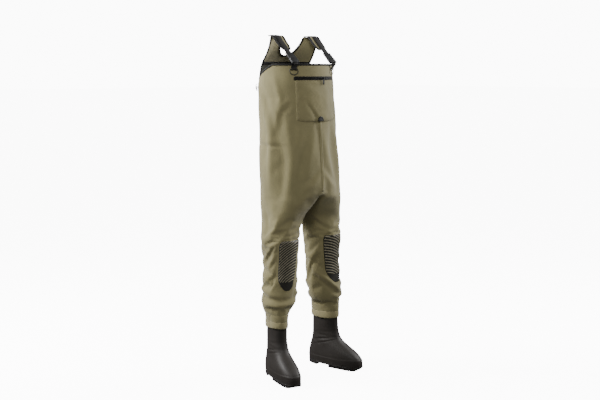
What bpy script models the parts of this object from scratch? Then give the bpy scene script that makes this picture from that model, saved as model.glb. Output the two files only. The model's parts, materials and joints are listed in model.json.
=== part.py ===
"""Chest waders with attached boots: a neoprene garment worn open at the top, standing on its soles.
Metres, +Z up, soles on z = 0, wearer's front toward -Y, wearer's left toward +X."""
import math

import bmesh
import bpy
from mathutils import Matrix, Vector

# ---- driving dimensions ------------------------------------------------------------------------
WALL = 0.003            # neoprene thickness
GAP = 0.0006            # clearance between neighbouring pieces
TORSO_STEP = 7.5        # degrees per facet round the torso
LEG_STEP = 15.0         # degrees per facet round a leg
CROTCH_Z = 0.800
HEM_Z = 1.346           # top edge of the chest
UNDERARM_Z = 1.288
NECK_Z = 1.385          # lowest point of the back neckline
HORN_Z = 1.462          # top of the shoulder horns
YOKE_HALF = (0.138, 0.130)      # half width of the yoke at its foot and at the horns
HORN_INNER = 0.066              # where a horn begins, from the middle
POCKET_U = 37.0         # half angle covered by the pocket
POCKET_Z = (1.106, 1.2785)
ZIP_Z = 1.286
STRAP_X = 0.104
WEB_HALF = 0.015
CUFF_Z = (0.224, 0.2535, 0.280)
FOOT = (0.140, -0.010)
FOOT_SPLAY = 14.0
SHAFT_TOP = 0.300
FRAME_SHIFT = 0.014176

# z, half width, front half depth, back half depth, centre y
TORSO = [
    (0.8000, 0.184, 0.151, 0.151, -0.001),
    (0.8650, 0.184, 0.153, 0.153, 0.003),
    (0.9450, 0.182, 0.153, 0.153, 0.007),
    (1.0550, 0.173, 0.150, 0.150, 0.014),
    (1.1840, 0.170, 0.150, 0.150, 0.023),
    (1.2600, 0.170, 0.149, 0.147, 0.027),
    (1.3460, 0.1667, 0.1391, 0.1172, 0.0281),
    (1.3850, 0.162, 0.110, 0.093, 0.012),
    (1.4250, 0.158, 0.090, 0.072, 0.005),
    (1.4660, 0.155, 0.080, 0.062, 0.002),
]
# z, centre x, centre y, half width, half depth, share of the crotch D section
LEG = [
    (0.7994, 0.093, -0.002, 0.085, 0.120, 1.00),
    (0.7500, 0.096, -0.003, 0.087, 0.110, 0.45),
    (0.7000, 0.103, -0.004, 0.083, 0.096, 0.00),
    (0.6500, 0.112, -0.006, 0.080, 0.087, 0.00),
    (0.5900, 0.121, -0.009, 0.080, 0.085, 0.00),
    (0.5400, 0.118, -0.009, 0.074, 0.079, 0.00),
    (0.4600, 0.120, -0.009, 0.073, 0.077, 0.00),
    (0.3900, 0.125, -0.009, 0.072, 0.077, 0.00),
    (0.3350, 0.132, -0.009, 0.070, 0.076, 0.00),
    (0.3130, 0.137, -0.010, 0.062, 0.074, 0.00),
    (0.2800, 0.140, -0.010, 0.0430, 0.0685, 0.00),
    (0.2240, 0.140, -0.010, 0.0425, 0.0680, 0.00),
]
# z, heel, toe, half width of the boot's outside
BOOT = [
    (0.0220, -0.078, 0.192, 0.0430),
    (0.0400, -0.083, 0.196, 0.0465),
    (0.0600, -0.081, 0.184, 0.0455),
    (0.0780, -0.077, 0.160, 0.0425),
    (0.0930, -0.072, 0.130, 0.0405),
    (0.1090, -0.068, 0.100, 0.0390),
    (0.1290, -0.064, 0.078, 0.0375),
    (0.1600, -0.0625, 0.066, 0.0365),
    (0.2240, -0.0615, 0.0620, 0.0365),
    (SHAFT_TOP, -0.0615, 0.0615, 0.0365),
]

for old in list(bpy.data.objects):
    bpy.data.objects.remove(old, do_unlink=True)

MATS = {}
LOOKS = {
    "neoprene": ((0.165, 0.135, 0.072), 0.85, 0.0),
    "lining": ((0.035, 0.034, 0.026), 0.9, 0.0),
    "binding": ((0.012, 0.011, 0.010), 0.8, 0.0),
    "webbing": ((0.014, 0.012, 0.011), 0.75, 0.0),
    "buckle_plastic": ((0.010, 0.010, 0.011), 0.4, 0.0),
    "knee_rubber": ((0.030, 0.030, 0.024), 0.45, 0.0),
    "boot_rubber": ((0.020, 0.016, 0.013), 0.45, 0.0),
    "sole_rubber": ((0.018, 0.015, 0.012), 0.6, 0.0),
}
for look, (rgb, rough, metal) in LOOKS.items():
    mat = bpy.data.materials.new(look)
    mat.use_nodes = True
    shader = mat.node_tree.nodes["Principled BSDF"]
    shader.inputs["Base Color"].default_value = (*rgb, 1.0)
    shader.inputs["Roughness"].default_value = rough
    shader.inputs["Metallic"].default_value = metal
    mat.diffuse_color = (*rgb, 1.0)
    MATS[look] = mat


def solid(name, verts, faces, look, origin=(0, 0, 0)):
    """One closed body from points and faces, with its origin where it turns or slides."""
    base = Vector(origin)
    mesh = bpy.data.meshes.new(name)
    mesh.from_pydata([Vector(v) - base for v in verts], [], faces)
    work = bmesh.new()
    work.from_mesh(mesh)
    bmesh.ops.recalc_face_normals(work, faces=work.faces)
    work.to_mesh(mesh)
    work.free()
    body = bpy.data.objects.new(name, mesh)
    body.location = base
    body.data.materials.append(MATS[look])
    bpy.context.collection.objects.link(body)
    return body


def mix(a, b, t):
    return a + (b - a) * t


def between(table, z):
    """The table's row at height z, straight-lined between its rows."""
    rows = sorted(table)
    if z <= rows[0][0]:
        return rows[0][1:]
    for lo, hi in zip(rows, rows[1:]):
        if z <= hi[0]:
            t = (z - lo[0]) / (hi[0] - lo[0])
            return tuple(mix(a, b, t) for a, b in zip(lo[1:], hi[1:]))
    return rows[-1][1:]


def faceted(point_at, u, step):
    """A point on the flat facet that u falls on."""
    lo = math.floor(u / step + 1e-9) * step
    t = (u - lo) / step
    if t < 1e-6:
        return point_at(lo)
    return point_at(lo).lerp(point_at(lo + step), t)


def torso(u, z, d=0.0):
    """Torso skin at angle u from the front, height z, pushed out by d."""
    a, front, back, cy = between(TORSO, z)

    def at(v):
        r = math.radians(v)
        depth = front if math.cos(r) > 0 else back
        return Vector(((a + d) * math.sin(r), cy - (depth + d) * math.cos(r), z))
    return faceted(at, u, TORSO_STEP)


def leg_ring(row, u, d):
    """One ring of the left leg: an ellipse, or the half-torso D shape at the crotch."""
    z, cx, cy, a, b, share = row
    turn = math.radians(FOOT_SPLAY) * min(1.0, max(0.0, (0.62 - z) / 0.3))
    r = math.radians(u)
    s, c = math.sin(r), math.cos(r)
    reach = 1.0 / math.sqrt((s / a) ** 2 + (c / b) ** 2)
    if share > 0:
        big_a, big_b = TORSO[0][1], TORSO[0][2]
        qa = (s / big_a) ** 2 + (c / big_b) ** 2
        qb = 2 * cx * s / big_a ** 2
        qc = (cx / big_a) ** 2 - 1
        outer = (-qb + math.sqrt(qb * qb - 4 * qa * qc)) / (2 * qa)
        inner = (cx - 0.0045) / -s if s < -0.02 else 9.0
        dee = (outer ** -10 + inner ** -10) ** -0.1
        reach = mix(reach, dee, share)
    x, y = (reach + d) * math.sin(r), -(reach + d) * math.cos(r)
    return Vector((cx + x * math.cos(turn) - y * math.sin(turn),
                   cy + x * math.sin(turn) + y * math.cos(turn), z))


def leg(side):
    def skin(u, z, d=0.0):
        rows = sorted(LEG)
        for lo, hi in zip(rows, rows[1:]):
            if z <= hi[0] + 1e-9:
                break
        t = (z - lo[0]) / (hi[0] - lo[0])
        p = faceted(lambda v: leg_ring(lo, v, d).lerp(leg_ring(hi, v, d), t), u, LEG_STEP)
        return Vector((p.x * side, p.y, p.z))
    return skin


def stops(lo, hi, marks):
    """lo, hi and every mark between them."""
    return [lo] + [m for m in marks if lo + 1e-6 < m < hi - 1e-6] + [hi]


def facets(lo, hi, step):
    first, last = math.floor(lo / step), math.ceil(hi / step)
    return stops(lo, hi, [k * step for k in range(first, last + 1)])


def knots(table, lo, hi):
    return stops(lo, hi, sorted(row[0] for row in table))


def slab(name, skin, columns, look, d0, d1, ring=False, origin=(0, 0, 0)):
    """A panel: columns is a list of (u, [z ...]); it fills the skin from offset d0 to d1."""
    rows = len(columns[0][1])
    count = len(columns)
    verts = [skin(u, z, d) for d in (d0, d1) for u, zs in columns for z in zs]

    def at(layer, i, j):
        return layer * count * rows + (i % count) * rows + j
    faces = []
    for i in range(count if ring else count - 1):
        for j in range(rows - 1):
            faces.append([at(1, i, j), at(1, i + 1, j), at(1, i + 1, j + 1), at(1, i, j + 1)])
            faces.append([at(0, i, j + 1), at(0, i + 1, j + 1), at(0, i + 1, j), at(0, i, j)])
        for j in (0, rows - 1):
            faces.append([at(0, i, j), at(0, i + 1, j), at(1, i + 1, j), at(1, i, j)])
    if not ring:
        for i in (0, count - 1):
            for j in range(rows - 1):
                faces.append([at(0, i, j), at(0, i, j + 1), at(1, i, j + 1), at(1, i, j)])
    return solid(name, verts, faces, look, origin)


def sweep(name, sections, look, ring=False, origin=(0, 0, 0)):
    """A body through equal-sided sections, capped at both ends unless it closes on itself."""
    n, count = len(sections[0]), len(sections)
    verts = [p for section in sections for p in section]
    faces = []
    for i in range(count if ring else count - 1):
        for j in range(n):
            a, b = i * n, ((i + 1) % count) * n
            faces.append([a + j, a + (j + 1) % n, b + (j + 1) % n, b + j])
    if not ring:
        faces += [list(range(n)), [(count - 1) * n + j for j in reversed(range(n))]]
    return solid(name, verts, faces, look, origin)


def blocks(name, xs, ys, zs, filled, place, look, origin=(0, 0, 0)):
    """A rectilinear body made of the grid cells for which filled(i, j, k) is true."""
    def full(i, j, k):
        inside = 0 <= i < len(xs) - 1 and 0 <= j < len(ys) - 1 and 0 <= k < len(zs) - 1
        return inside and filled(i, j, k)
    index, verts, faces = {}, [], []

    def corner(i, j, k):
        if (i, j, k) not in index:
            index[(i, j, k)] = len(verts)
            verts.append(place @ Vector((xs[i], ys[j], zs[k])))
        return index[(i, j, k)]
    for i in range(len(xs) - 1):
        for j in range(len(ys) - 1):
            for k in range(len(zs) - 1):
                if not full(i, j, k):
                    continue
                for axis in range(3):
                    for way in (0, 1):
                        step = [0, 0, 0]
                        step[axis] = 1 if way else -1
                        if full(i + step[0], j + step[1], k + step[2]):
                            continue
                        e, f = [a for a in range(3) if a != axis]
                        quad = []
                        for p, q in ((0, 0), (1, 0), (1, 1), (0, 1)):
                            c = [i, j, k]
                            c[axis] += way
                            c[e] += p
                            c[f] += q
                            quad.append(corner(*c))
                        faces.append(quad)
    return solid(name, verts, faces, look, origin)


def ribbon(name, path, half, thick, look, x=0.0, origin=(0, 0, 0)):
    """A strip along (y, z) points at side position x; half gives its half width at each point."""
    pts = [Vector((0, y, z)) for y, z in path]
    sections = []
    for i, p in enumerate(pts):
        along = (pts[min(i + 1, len(pts) - 1)] - pts[max(i - 1, 0)]).normalized()
        out = Vector((0, -along.z, along.y))
        w = half[i] if isinstance(half, (list, tuple)) else half
        top, low = p + out * thick / 2, p - out * thick / 2
        sections.append([Vector((x + e * w, q.y, q.z)) for e, q in ((-1, low), (1, low), (1, top), (-1, top))])
    return sweep(name, sections, look, origin=origin)


def binding(name, edge, look, reach=0.0065, cloth=0.001, slack=GAP):
    """A folded tape over a panel edge; edge is a list of (point, across the panel, out of the panel)."""
    near = WALL / 2 + slack
    far = near + cloth
    sections = []
    for p, across, out in edge:
        profile = [(-far, -reach), (-near, -reach), (-near, slack), (near, slack),
                   (near, -reach), (far, -reach), (far, slack + cloth), (-far, slack + cloth)]
        sections.append([p + across * n + out * t for n, t in profile])
    return sweep(name, sections, look)


# ---- torso ----------------------------------------------------------------------------------------
def hem(u):
    """Height of the top edge at angle u: level over the chest, falling to the underarm."""
    return mix(HEM_Z, UNDERARM_Z, min(1.0, max(0.0, (abs(u) - 74.0) / 46.0)))


def torso_columns(lo, hi, top):
    marks = [u for u in facets(lo, hi, TORSO_STEP)]
    inner = [row[0] for row in TORSO if CROTCH_Z + 1e-6 < row[0] < 1.261]
    return [(u, [CROTCH_Z] + inner + [top(u)]) for u in marks]


slab("torso_front", torso, torso_columns(-89.9, 89.9, hem), "neoprene", -WALL, 0)
slab("torso_back", torso, torso_columns(90.1, 269.9, lambda u: hem(min(u, 360 - u))), "neoprene", -WALL, 0)


def yoke(s, z, d=0.0):
    """Back yoke: s runs from -1 at the wearer's right armhole to +1 at the left."""
    a, _, back, cy = between(TORSO, z)
    half = mix(YOKE_HALF[0], YOKE_HALF[1], (z - UNDERARM_Z) / (HORN_Z - UNDERARM_Z))
    x = s * half
    level = math.sqrt(1 - (x / a) ** 2)
    nx, ny = x / a ** 2, level / back
    size = math.hypot(nx, ny)
    return Vector((x + d * nx / size, cy + back * level + d * ny / size, z))


def neckline(s):
    x = abs(s) * YOKE_HALF[1]
    return mix(NECK_Z, HORN_Z, min(1.0, x / HORN_INNER) ** 2.4)


YOKE_S = [-1, -0.9, -0.8, -0.7, -0.6, -0.508, -0.46, -0.4, -0.32, -0.22, -0.11, 0,
          0.11, 0.22, 0.32, 0.4, 0.46, 0.508, 0.6, 0.7, 0.8, 0.9, 1]


def yoke_rows(s):
    top = neckline(s)
    return [UNDERARM_Z + 0.0006, HEM_Z, 1.370] + [mix(1.370, top, t) for t in (0.35, 0.7, 1.0)]


slab("back_yoke", yoke, [(s, yoke_rows(s)) for s in YOKE_S], "neoprene", -WALL, 0)
slab("inner_back_band", yoke, [(s, [1.343, 1.357]) for s in YOKE_S if abs(s) < 0.95], "binding",
     -WALL - GAP - 0.0014, -WALL - GAP)

def edge_frame(skin, at_edge, inboard, along=None):
    """Edge point with its directions across the panel and out past its edge."""
    inner, outer = skin(*at_edge, -WALL), skin(*at_edge, 0)
    out = (outer - skin(*inboard, 0)).normalized()
    if along:
        run = (skin(*along[1], 0) - skin(*along[0], 0)).normalized()
        out = (out - run * out.dot(run)).normalized()
    across = outer - inner
    across = (across - out * across.dot(out)).normalized()
    return (inner + outer) / 2, across, out


binding("hem_binding", [edge_frame(torso, (u, hem(u)), (u, 1.262)) for u in facets(-119.0, 119.0, TORSO_STEP)],
        "binding")
binding("neck_binding", [edge_frame(yoke, (s, neckline(s)), (s, mix(1.370, neckline(s), 0.7)),
                                    [(s - 0.05, neckline(s - 0.05)), (s + 0.05, neckline(s + 0.05))])
                         for s in YOKE_S if abs(s) < 0.47], "binding", reach=0.0026, slack=0.0016)
for side, tag in ((-1, "right"), (1, "left")):
    binding(f"armhole_binding_{tag}",
            [edge_frame(yoke, (side, z), (side * 0.9, z)) for z in (1.2995, HEM_Z, 1.370, 1.402, 1.434, 1.4580)],
            "binding", reach=0.005)

# crotch gusset: a saddle strip just above the tops of the inner leg walls
gusset = [(-0.1455, 0.010), (-0.10, 0.016), (-0.05, 0.020), (0.0, 0.022), (0.05, 0.020), (0.10, 0.016), (0.1415, 0.010)]
ribbon("crotch_gusset", [(y, CROTCH_Z + 0.0025 + 0.004 * (1 - (y / 0.146) ** 2)) for y, _ in gusset],
       [w for _, w in gusset], 0.0025, "neoprene")

# centre-front seam tape, from under the pocket to the crotch
slab("centre_seam", torso, [(u, knots(TORSO, CROTCH_Z + 0.006, POCKET_Z[0] - 0.002)) for u in (-1.8, 0.0, 1.8)],
     "neoprene", GAP, GAP + 0.0012)

# ---- chest pocket ----------------------------------------------------------------------------------
def pocket_floor(u):
    """The pouch's lower edge rises a little at its corners."""
    return POCKET_Z[0] + 0.010 * (abs(u) / POCKET_U) ** 6


slab("chest_pocket", torso,
     [(u, [pocket_floor(u)] + [1.184, 1.26] + [POCKET_Z[1]]) for u in facets(-POCKET_U, POCKET_U, TORSO_STEP)],
     "neoprene", GAP, GAP + 0.0035)
zip_u = facets(-POCKET_U - 2, POCKET_U + 2, TORSO_STEP)
slab("zip_tape", torso, [(u, [ZIP_Z - 0.0065, ZIP_Z + 0.0065]) for u in zip_u], "binding", GAP, GAP + 0.0010)
slab("zip_teeth", torso, [(u, [ZIP_Z - 0.0022, ZIP_Z + 0.0022]) for u in facets(-36.5, 36.5, TORSO_STEP)],
     "buckle_plastic", 2 * GAP + 0.0010, 2 * GAP + 0.0028)

# the slider runs round the chest on an arc, so it turns about an upright axis
ZIP_AXIS = Vector((0.0, 0.0716, ZIP_Z))
SLIDER_ANGLE = math.radians(7.0)
slide_out = Vector((math.sin(SLIDER_ANGLE), -math.cos(SLIDER_ANGLE), 0))
slide_side = Vector((math.cos(SLIDER_ANGLE), math.sin(SLIDER_ANGLE), 0))
SLIDER_AT = ZIP_AXIS + slide_out * 0.1955
frame_slider = Matrix.Translation(SLIDER_AT) @ Matrix((
    (slide_side.x, slide_out.x, 0, 0), (slide_side.y, slide_out.y, 0, 0), (0, 0, 1, 0), (0, 0, 0, 1)))
blocks("zip_slider", [-0.0060, -0.0018, 0.0018, 0.0060], [0, 0.0022, 0.0050, 0.0066],
       [-0.0042, -0.0012, 0.0012, 0.0042],
       lambda i, j, k: j == 0 or (i == 1 and k != 1 and j == 1) or (i == 1 and j == 2),
       frame_slider, "buckle_plastic", origin=ZIP_AXIS)
# the pull hangs from a bar under the slider's bridge
PULL_AT = frame_slider @ Vector((0, 0.0036, 0.0))
frame_pull = Matrix.Translation(PULL_AT) @ frame_slider.to_3x3().to_4x4()
blocks("zip_pull", [-0.0045, -0.0024, 0.0024, 0.0045], [-0.0008, 0.0008],
       [-0.0255, -0.0064, -0.0008, 0.0008],
       lambda i, j, k: k == 0 or i != 1 or k == 2, frame_pull, "buckle_plastic", origin=PULL_AT)

# half-moon tab on the pouch's lower edge
moon = []
for k in range(9):
    w = math.radians(180 * k / 8)
    moon.append((5.0 * math.cos(w), POCKET_Z[0] + 0.003 + 0.019 * math.sin(w)))
verts, faces = [], []
for d in (2 * GAP + 0.0036, 2 * GAP + 0.0056):
    for u, z in moon:
        p = torso(0.0, z, d)
        verts.append(Vector((0.0028 * u, p.y, z)))
n = len(moon)
faces = [list(range(n)), list(range(2 * n - 1, n - 1, -1))]
faces += [[i, (i + 1) % n, n + (i + 1) % n, n + i] for i in range(n)]
solid("half_moon_tab", verts, faces, "binding")

# ---- legs, knees, cuffs ------------------------------------------------------------------------------
def pad_half(z):
    """Half angle the knee pad covers at height z: broad, drawn in to a rounded point below."""
    return between([(0.392, 9.0), (0.412, 24.0), (0.452, 37.0), (0.585, 39.0), (0.606, 33.0)], z)[0]


def mirror_pair(tag):
    return -1 if tag == "right" else 1


for tag in ("right", "left"):
    side = mirror_pair(tag)
    skin = leg(side)
    heights = knots(LEG, CUFF_Z[2] + 0.0006, CROTCH_Z - 0.0006)
    slab(f"leg_front_{tag}", skin, [(u, heights) for u in facets(-89.7, 89.7, LEG_STEP)], "neoprene", -WALL, 0)
    slab(f"leg_back_{tag}", skin, [(u, heights) for u in facets(90.3, 269.7, LEG_STEP)], "neoprene", -WALL, 0)
    around = [k * LEG_STEP for k in range(24)]
    slab(f"cuff_upper_{tag}", skin, [(u, [CUFF_Z[1], CUFF_Z[2]]) for u in around],
         "neoprene", -WALL, 0, ring=True)
    slab(f"cuff_lower_{tag}", skin, [(u, [CUFF_Z[0], CUFF_Z[1] - 0.0006]) for u in around],
         "neoprene", -WALL, 0, ring=True)

    # knee pad, with raised curved ribs
    levels = knots(LEG, 0.392, 0.606)
    extra = [0.412, 0.436, 0.484, 0.508, 0.565]
    levels = sorted(set(levels + extra))
    count = 8
    verts, faces = [], []
    lines = []
    for layer in (0, 1):
        for j, z in enumerate(levels):
            half = pad_half(z)
            marks = facets(-45, 45, LEG_STEP)
            for u in marks:
                v = max(-half, min(half, u * half / 45.0))
                raised = 0.0050 if j % 2 else 0.0038
                verts.append(skin(v * side, z, 0.0021 if layer == 0 else raised))
    count = len(marks)
    rows = len(levels)

    def at(layer, j, i):
        return layer * rows * count + j * count + i
    for j in range(rows - 1):
        for i in range(count - 1):
            for layer in (0, 1):
                faces.append([at(layer, j, i), at(layer, j, i + 1), at(layer, j + 1, i + 1), at(layer, j + 1, i)])
        for i in (0, count - 1):
            faces.append([at(0, j, i), at(0, j + 1, i), at(1, j + 1, i), at(1, j, i)])
    for i in range(count - 1):
        for j in (0, rows - 1):
            faces.append([at(0, j, i), at(0, j, i + 1), at(1, j, i + 1), at(1, j, i)])
    solid(f"knee_pad_{tag}", verts, faces, "knee_rubber")

# ---- boots ---------------------------------------------------------------------------------------------
def foot_place(side):
    """Foot frame: x along the foot to the toe, y across it; splayed outward and mirrored."""
    turn = math.radians(FOOT_SPLAY)
    ahead = Vector((math.sin(turn) * side, -math.cos(turn), 0))
    across = Vector((math.cos(turn), math.sin(turn) * side, 0))
    return Matrix(((ahead.x, across.x, 0, FOOT[0] * side), (ahead.y, across.y, 0, FOOT[1]),
                   (0, 0, 1, 0), (0, 0, 0, 1)))


def boot_ring(z, heel, toe, half, place, inset=0.0, count=24):
    mid, reach = (heel + toe) / 2, (toe - heel) / 2 - inset
    longer = (toe - heel) / 2 - half
    power = 2.0 / mix(2.0, 2.5, min(1.0, longer / 0.08))
    swell = 0.10 * min(1.0, longer / 0.08)
    ring = []
    for k in range(count):
        w = 2 * math.pi * k / count
        c, s = math.cos(w), math.sin(w)
        x = mid + reach * math.copysign(abs(c) ** power, c)
        y = (half - inset) * (1 + swell * c) * math.copysign(abs(s) ** power, s)
        ring.append(place @ Vector((x, y, z)))
    return ring


for tag in ("right", "left"):
    side = mirror_pair(tag)
    place = foot_place(side)
    outside = [boot_ring(z, h, t, w, place) for z, h, t, w in BOOT]
    inside = [boot_ring(z, h, t, w, place, inset=0.0045) for z, h, t, w in reversed(BOOT[1:])]
    inside.append(boot_ring(0.030, *between(BOOT, 0.030), place, inset=0.0060))
    sweep(f"boot_upper_{tag}", outside + inside, "boot_rubber")

    stations = [-0.081, -0.074, -0.055, -0.0210, -0.0160, 0.012, 0.045, 0.080, 0.120, 0.155, 0.180, 0.195]
    lift = [0.0, 0.0, 0.0, 0.0, 0.0095, 0.0095, 0.0, 0.0, 0.0, 0.0, 0.003, 0.008]
    width = [0.018, 0.030, 0.0395, 0.0405, 0.0405, 0.0400, 0.0445, 0.0490, 0.0495, 0.0420, 0.0300, 0.0130]
    sections = []
    for x, low, w in zip(stations, lift, width):
        sections.append([place @ Vector(p) for p in
                         ((x, -w, low), (x, w, low), (x, w, 0.0214), (x, -w, 0.0214))])
    sweep(f"outsole_{tag}", sections, "sole_rubber")

# ---- straps, buckles, rings -------------------------------------------------------------------------------
STRAP_TOP = Vector((0, 0.010, 1.443))
STRAP_END = Vector((0, -0.1000, 1.344))
RUN = (STRAP_END - STRAP_TOP).normalized()


def on_strap(s, lift=0.0):
    """(y, z) at distance s down the straight run, lifted off its mid line."""
    out = Vector((0, -RUN.z, RUN.y))
    p = STRAP_TOP + RUN * s - out * lift
    return (p.y, p.z)


def dee_ring(name, centre, across, down, out, half, drop, wire, look, origin):
    """A ring with a straight bar on top: bar along `across`, bow hanging along `down`."""
    path = [(half, 0.0), (half, drop * 0.35)]
    path += [(half * math.cos(math.radians(a)), drop * 0.35 + drop * 0.65 * math.sin(math.radians(a)))
             for a in (30, 60, 90, 120, 150)]
    path += [(-half, drop * 0.35), (-half, 0.0)]
    pts = [centre + across * x + down * y for x, y in path]
    sections = []
    for i, p in enumerate(pts):
        along = (pts[(i + 1) % len(pts)] - pts[i - 1]).normalized()
        side_way = along.cross(out).normalized()
        sections.append([p + (side_way * math.cos(math.radians(a)) + out * math.sin(math.radians(a))) * wire
                         for a in (0, 60, 120, 180, 240, 300)])
    return sweep(name, sections, look, ring=True, origin=origin)


RING_Z = 1.3245
for tag in ("right", "left"):
    side = mirror_pair(tag)
    x = STRAP_X * side
    # pad: laps over the horn's top edge and tapers toward the buckle
    pad_path = [(0.0560, HORN_Z + 0.0026), (0.030, HORN_Z + 0.0026), (0.0175, 1.4530)]
    pad_path += [on_strap(0.002), on_strap(0.026), on_strap(0.044), on_strap(0.0555)]
    centre = 0.098 * side
    ribbon(f"strap_pad_{tag}", pad_path, [0.031, 0.031, 0.031, 0.0305, 0.030, 0.027, 0.019], WALL, "neoprene", x=centre)
    lift = WALL / 2 + GAP + 0.0009
    web_path = [(0.0540, HORN_Z + 0.0026 + lift), (0.0300, HORN_Z + 0.0026 + lift),
                (0.0160, 1.4530 + lift)]
    web_path += [on_strap(0.002, lift), on_strap(0.050, lift), on_strap(0.1085, lift)]
    ribbon(f"strap_webbing_{tag}", web_path, WEB_HALF, 0.0016, "webbing", x=x)

    # buckle frame: local x across, y down the strap, z out of it
    out = Vector((0, -RUN.z, RUN.y)) * -1
    seat = STRAP_TOP + out * lift
    buckle = Matrix(((1, 0, 0, x), (0, RUN.y, out.y, seat.y), (0, RUN.z, out.z, seat.z), (0, 0, 0, 1)))
    slot = 0.0008 + GAP
    edges_x = [-0.0190, -0.0160, -0.0130, -0.0080, 0.0080, 0.0130, 0.0160, 0.0190]

    def prong(i, j, k):
        """A frame open end to end for the webbing, with two prongs above its path."""
        if j == 0:
            return k != 1 or i in (0, 6)
        return i in (2, 4) and k == 2
    blocks(f"buckle_prong_{tag}", edges_x, [0.080, 0.1118, 0.1240],
           [-0.0032, -slot, slot, 0.0032], prong, buckle, "buckle_plastic",
           origin=buckle @ Vector((0, 0.095, 0)))

    blocks(f"buckle_socket_{tag}", [-0.0180, -0.0145, -0.0130, 0.0130, 0.0145, 0.0180],
           [0.1124, 0.1255, 0.1305, 0.1400], [-0.0050, -0.0038, -slot, slot, 0.0038, 0.0050],
           lambda i, j, k: (j == 0 and (k in (0, 4) or i in (0, 4))) or j == 1
           or (j == 2 and not (k == 2 and i in (1, 2, 3))),
           buckle, "buckle_plastic")

    # strap tab: from the socket, over the hem, round the ring's bar and back up behind it
    anchor_u = math.degrees(math.asin(STRAP_X / 0.1685)) * side
    face = torso(anchor_u, RING_Z, 0)
    ahead = (torso(anchor_u, RING_Z, 0.01) - face).normalized()
    flat = Vector((0, 0, 1)).cross(ahead).normalized()
    hub = face + ahead * 0.0062
    loop = 0.0027
    wide = Vector((1, 0, 0))
    turned = []
    for s in (0.1320, 0.1390, 0.1480):
        y, z = on_strap(s, lift)
        turned.append((Vector((x, y, z)), wide, out))
    low_out = (ahead * 0.9 + Vector((0, 0, 0.2))).normalized()
    turned.append((hub + ahead * loop + Vector((0, 0, 0.0100)), (wide + flat * 2).normalized(), low_out))
    turned.append((hub + ahead * loop + Vector((0, 0, 0.0030)), flat, ahead))
    for angle in (0, 45, 90, 135, 180):
        r = math.radians(angle)
        spoke = ahead * math.cos(r) - Vector((0, 0, math.sin(r)))
        turned.append((hub + spoke * loop, flat, spoke))
    turned.append((hub - ahead * loop + Vector((0, 0, 0.0085)), flat, -ahead))
    sections = [[p + w * e * 0.0120 + n * t * 0.0006 for e, t in ((-1, -1), (1, -1), (1, 1), (-1, 1))]
                for p, w, n in turned]
    sweep(f"strap_tab_{tag}", sections, "webbing")
    dee_ring(f"d_ring_{tag}", hub, flat, Vector((0, 0, -1)), ahead,
             0.0165, 0.0230, 0.0015, "buckle_plastic", hub)

# ---- ring on a webbing tab at the back of the right side -----------------------------------------------------
BACK_U = -127.0
BACK_Z = 1.249
foot_point = torso(BACK_U, BACK_Z, 0)
back_out = (torso(BACK_U, BACK_Z, 0.01) - foot_point).normalized()
back_side = Vector((0, 0, 1)).cross(back_out).normalized()
hub = foot_point + back_out * 0.0072
tab = []
for n, h in [(0.0014, 0.0150), (0.0014, 0.0040), (0.0036, 0.0026)]:
    tab.append((n, h))
tab += [(0.0072 + 0.0027 * math.cos(math.radians(a)), 0.0027 * math.sin(math.radians(a))) for a in (135, 90, 45, 0, -45, -90, -135)]
tab += [(0.0036, -0.0026), (0.0014, -0.0040), (0.0014, -0.0150)]
sections = []
for i, (n, h) in enumerate(tab):
    a, b = tab[max(i - 1, 0)], tab[min(i + 1, len(tab) - 1)]
    length = math.hypot(b[0] - a[0], b[1] - a[1])
    ox, oz = -(b[1] - a[1]) / length, (b[0] - a[0]) / length
    ring = []
    for e, t in ((-1, -1), (1, -1), (1, 1), (-1, 1)):
        ring.append(foot_point + back_out * (n + ox * t * 0.0005) + Vector((0, 0, h + oz * t * 0.0005))
                    + back_side * e * 0.006)
    sections.append(ring)
sweep("back_tab", sections, "webbing")
dee_ring("back_ring", hub, back_side, Vector((0, 0, -1)), back_out, 0.0095, 0.0150, 0.0013,
         "buckle_plastic", hub)

# the frame's origin is under the middle of the bounding box
for body in bpy.data.objects:
    body.location.y += FRAME_SHIFT
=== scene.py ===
"""Looks for the chest waders: sewn neoprene shell, bindings, pocket, knee pads, straps and rubber boots."""
import json
import math

import bmesh
import bpy
import numpy as np
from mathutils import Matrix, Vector, noise


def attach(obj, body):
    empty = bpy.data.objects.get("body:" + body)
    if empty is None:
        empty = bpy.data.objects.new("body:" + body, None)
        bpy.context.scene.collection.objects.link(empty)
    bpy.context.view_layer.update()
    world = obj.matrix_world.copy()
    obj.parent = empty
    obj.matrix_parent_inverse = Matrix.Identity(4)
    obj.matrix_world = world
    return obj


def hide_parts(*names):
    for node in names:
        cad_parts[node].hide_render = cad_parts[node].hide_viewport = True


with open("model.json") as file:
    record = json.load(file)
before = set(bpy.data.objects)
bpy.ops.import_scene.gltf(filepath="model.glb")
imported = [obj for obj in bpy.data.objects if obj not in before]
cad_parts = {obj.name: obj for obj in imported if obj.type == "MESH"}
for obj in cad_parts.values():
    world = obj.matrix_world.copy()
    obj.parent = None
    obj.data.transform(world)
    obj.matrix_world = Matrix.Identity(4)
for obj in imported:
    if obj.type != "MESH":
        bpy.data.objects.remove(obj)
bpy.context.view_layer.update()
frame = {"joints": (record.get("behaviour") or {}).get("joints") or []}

# ---- driving dimensions, in metres and degrees, as the CAD has them ----
SHIFT = 0.014176            # the CAD's forward shift of everything along Y
WALL = 0.003
CROTCH_Z, HEM_Z, UNDERARM_Z = 0.800, 1.346, 1.288
NECK_Z, HORN_Z, HORN_INNER = 1.385, 1.462, 0.066
YOKE_HALF = (0.138, 0.130)
POCKET_U, POCKET_Z = 37.0, (1.106, 1.2785)
ZIP_Z = 1.286
STRAP_X = 0.104
CUFF_Z = (0.224, 0.2535, 0.280)
FOOT, FOOT_SPLAY = (0.140, -0.010), 14.0
SHAFT_TOP = 0.300
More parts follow.
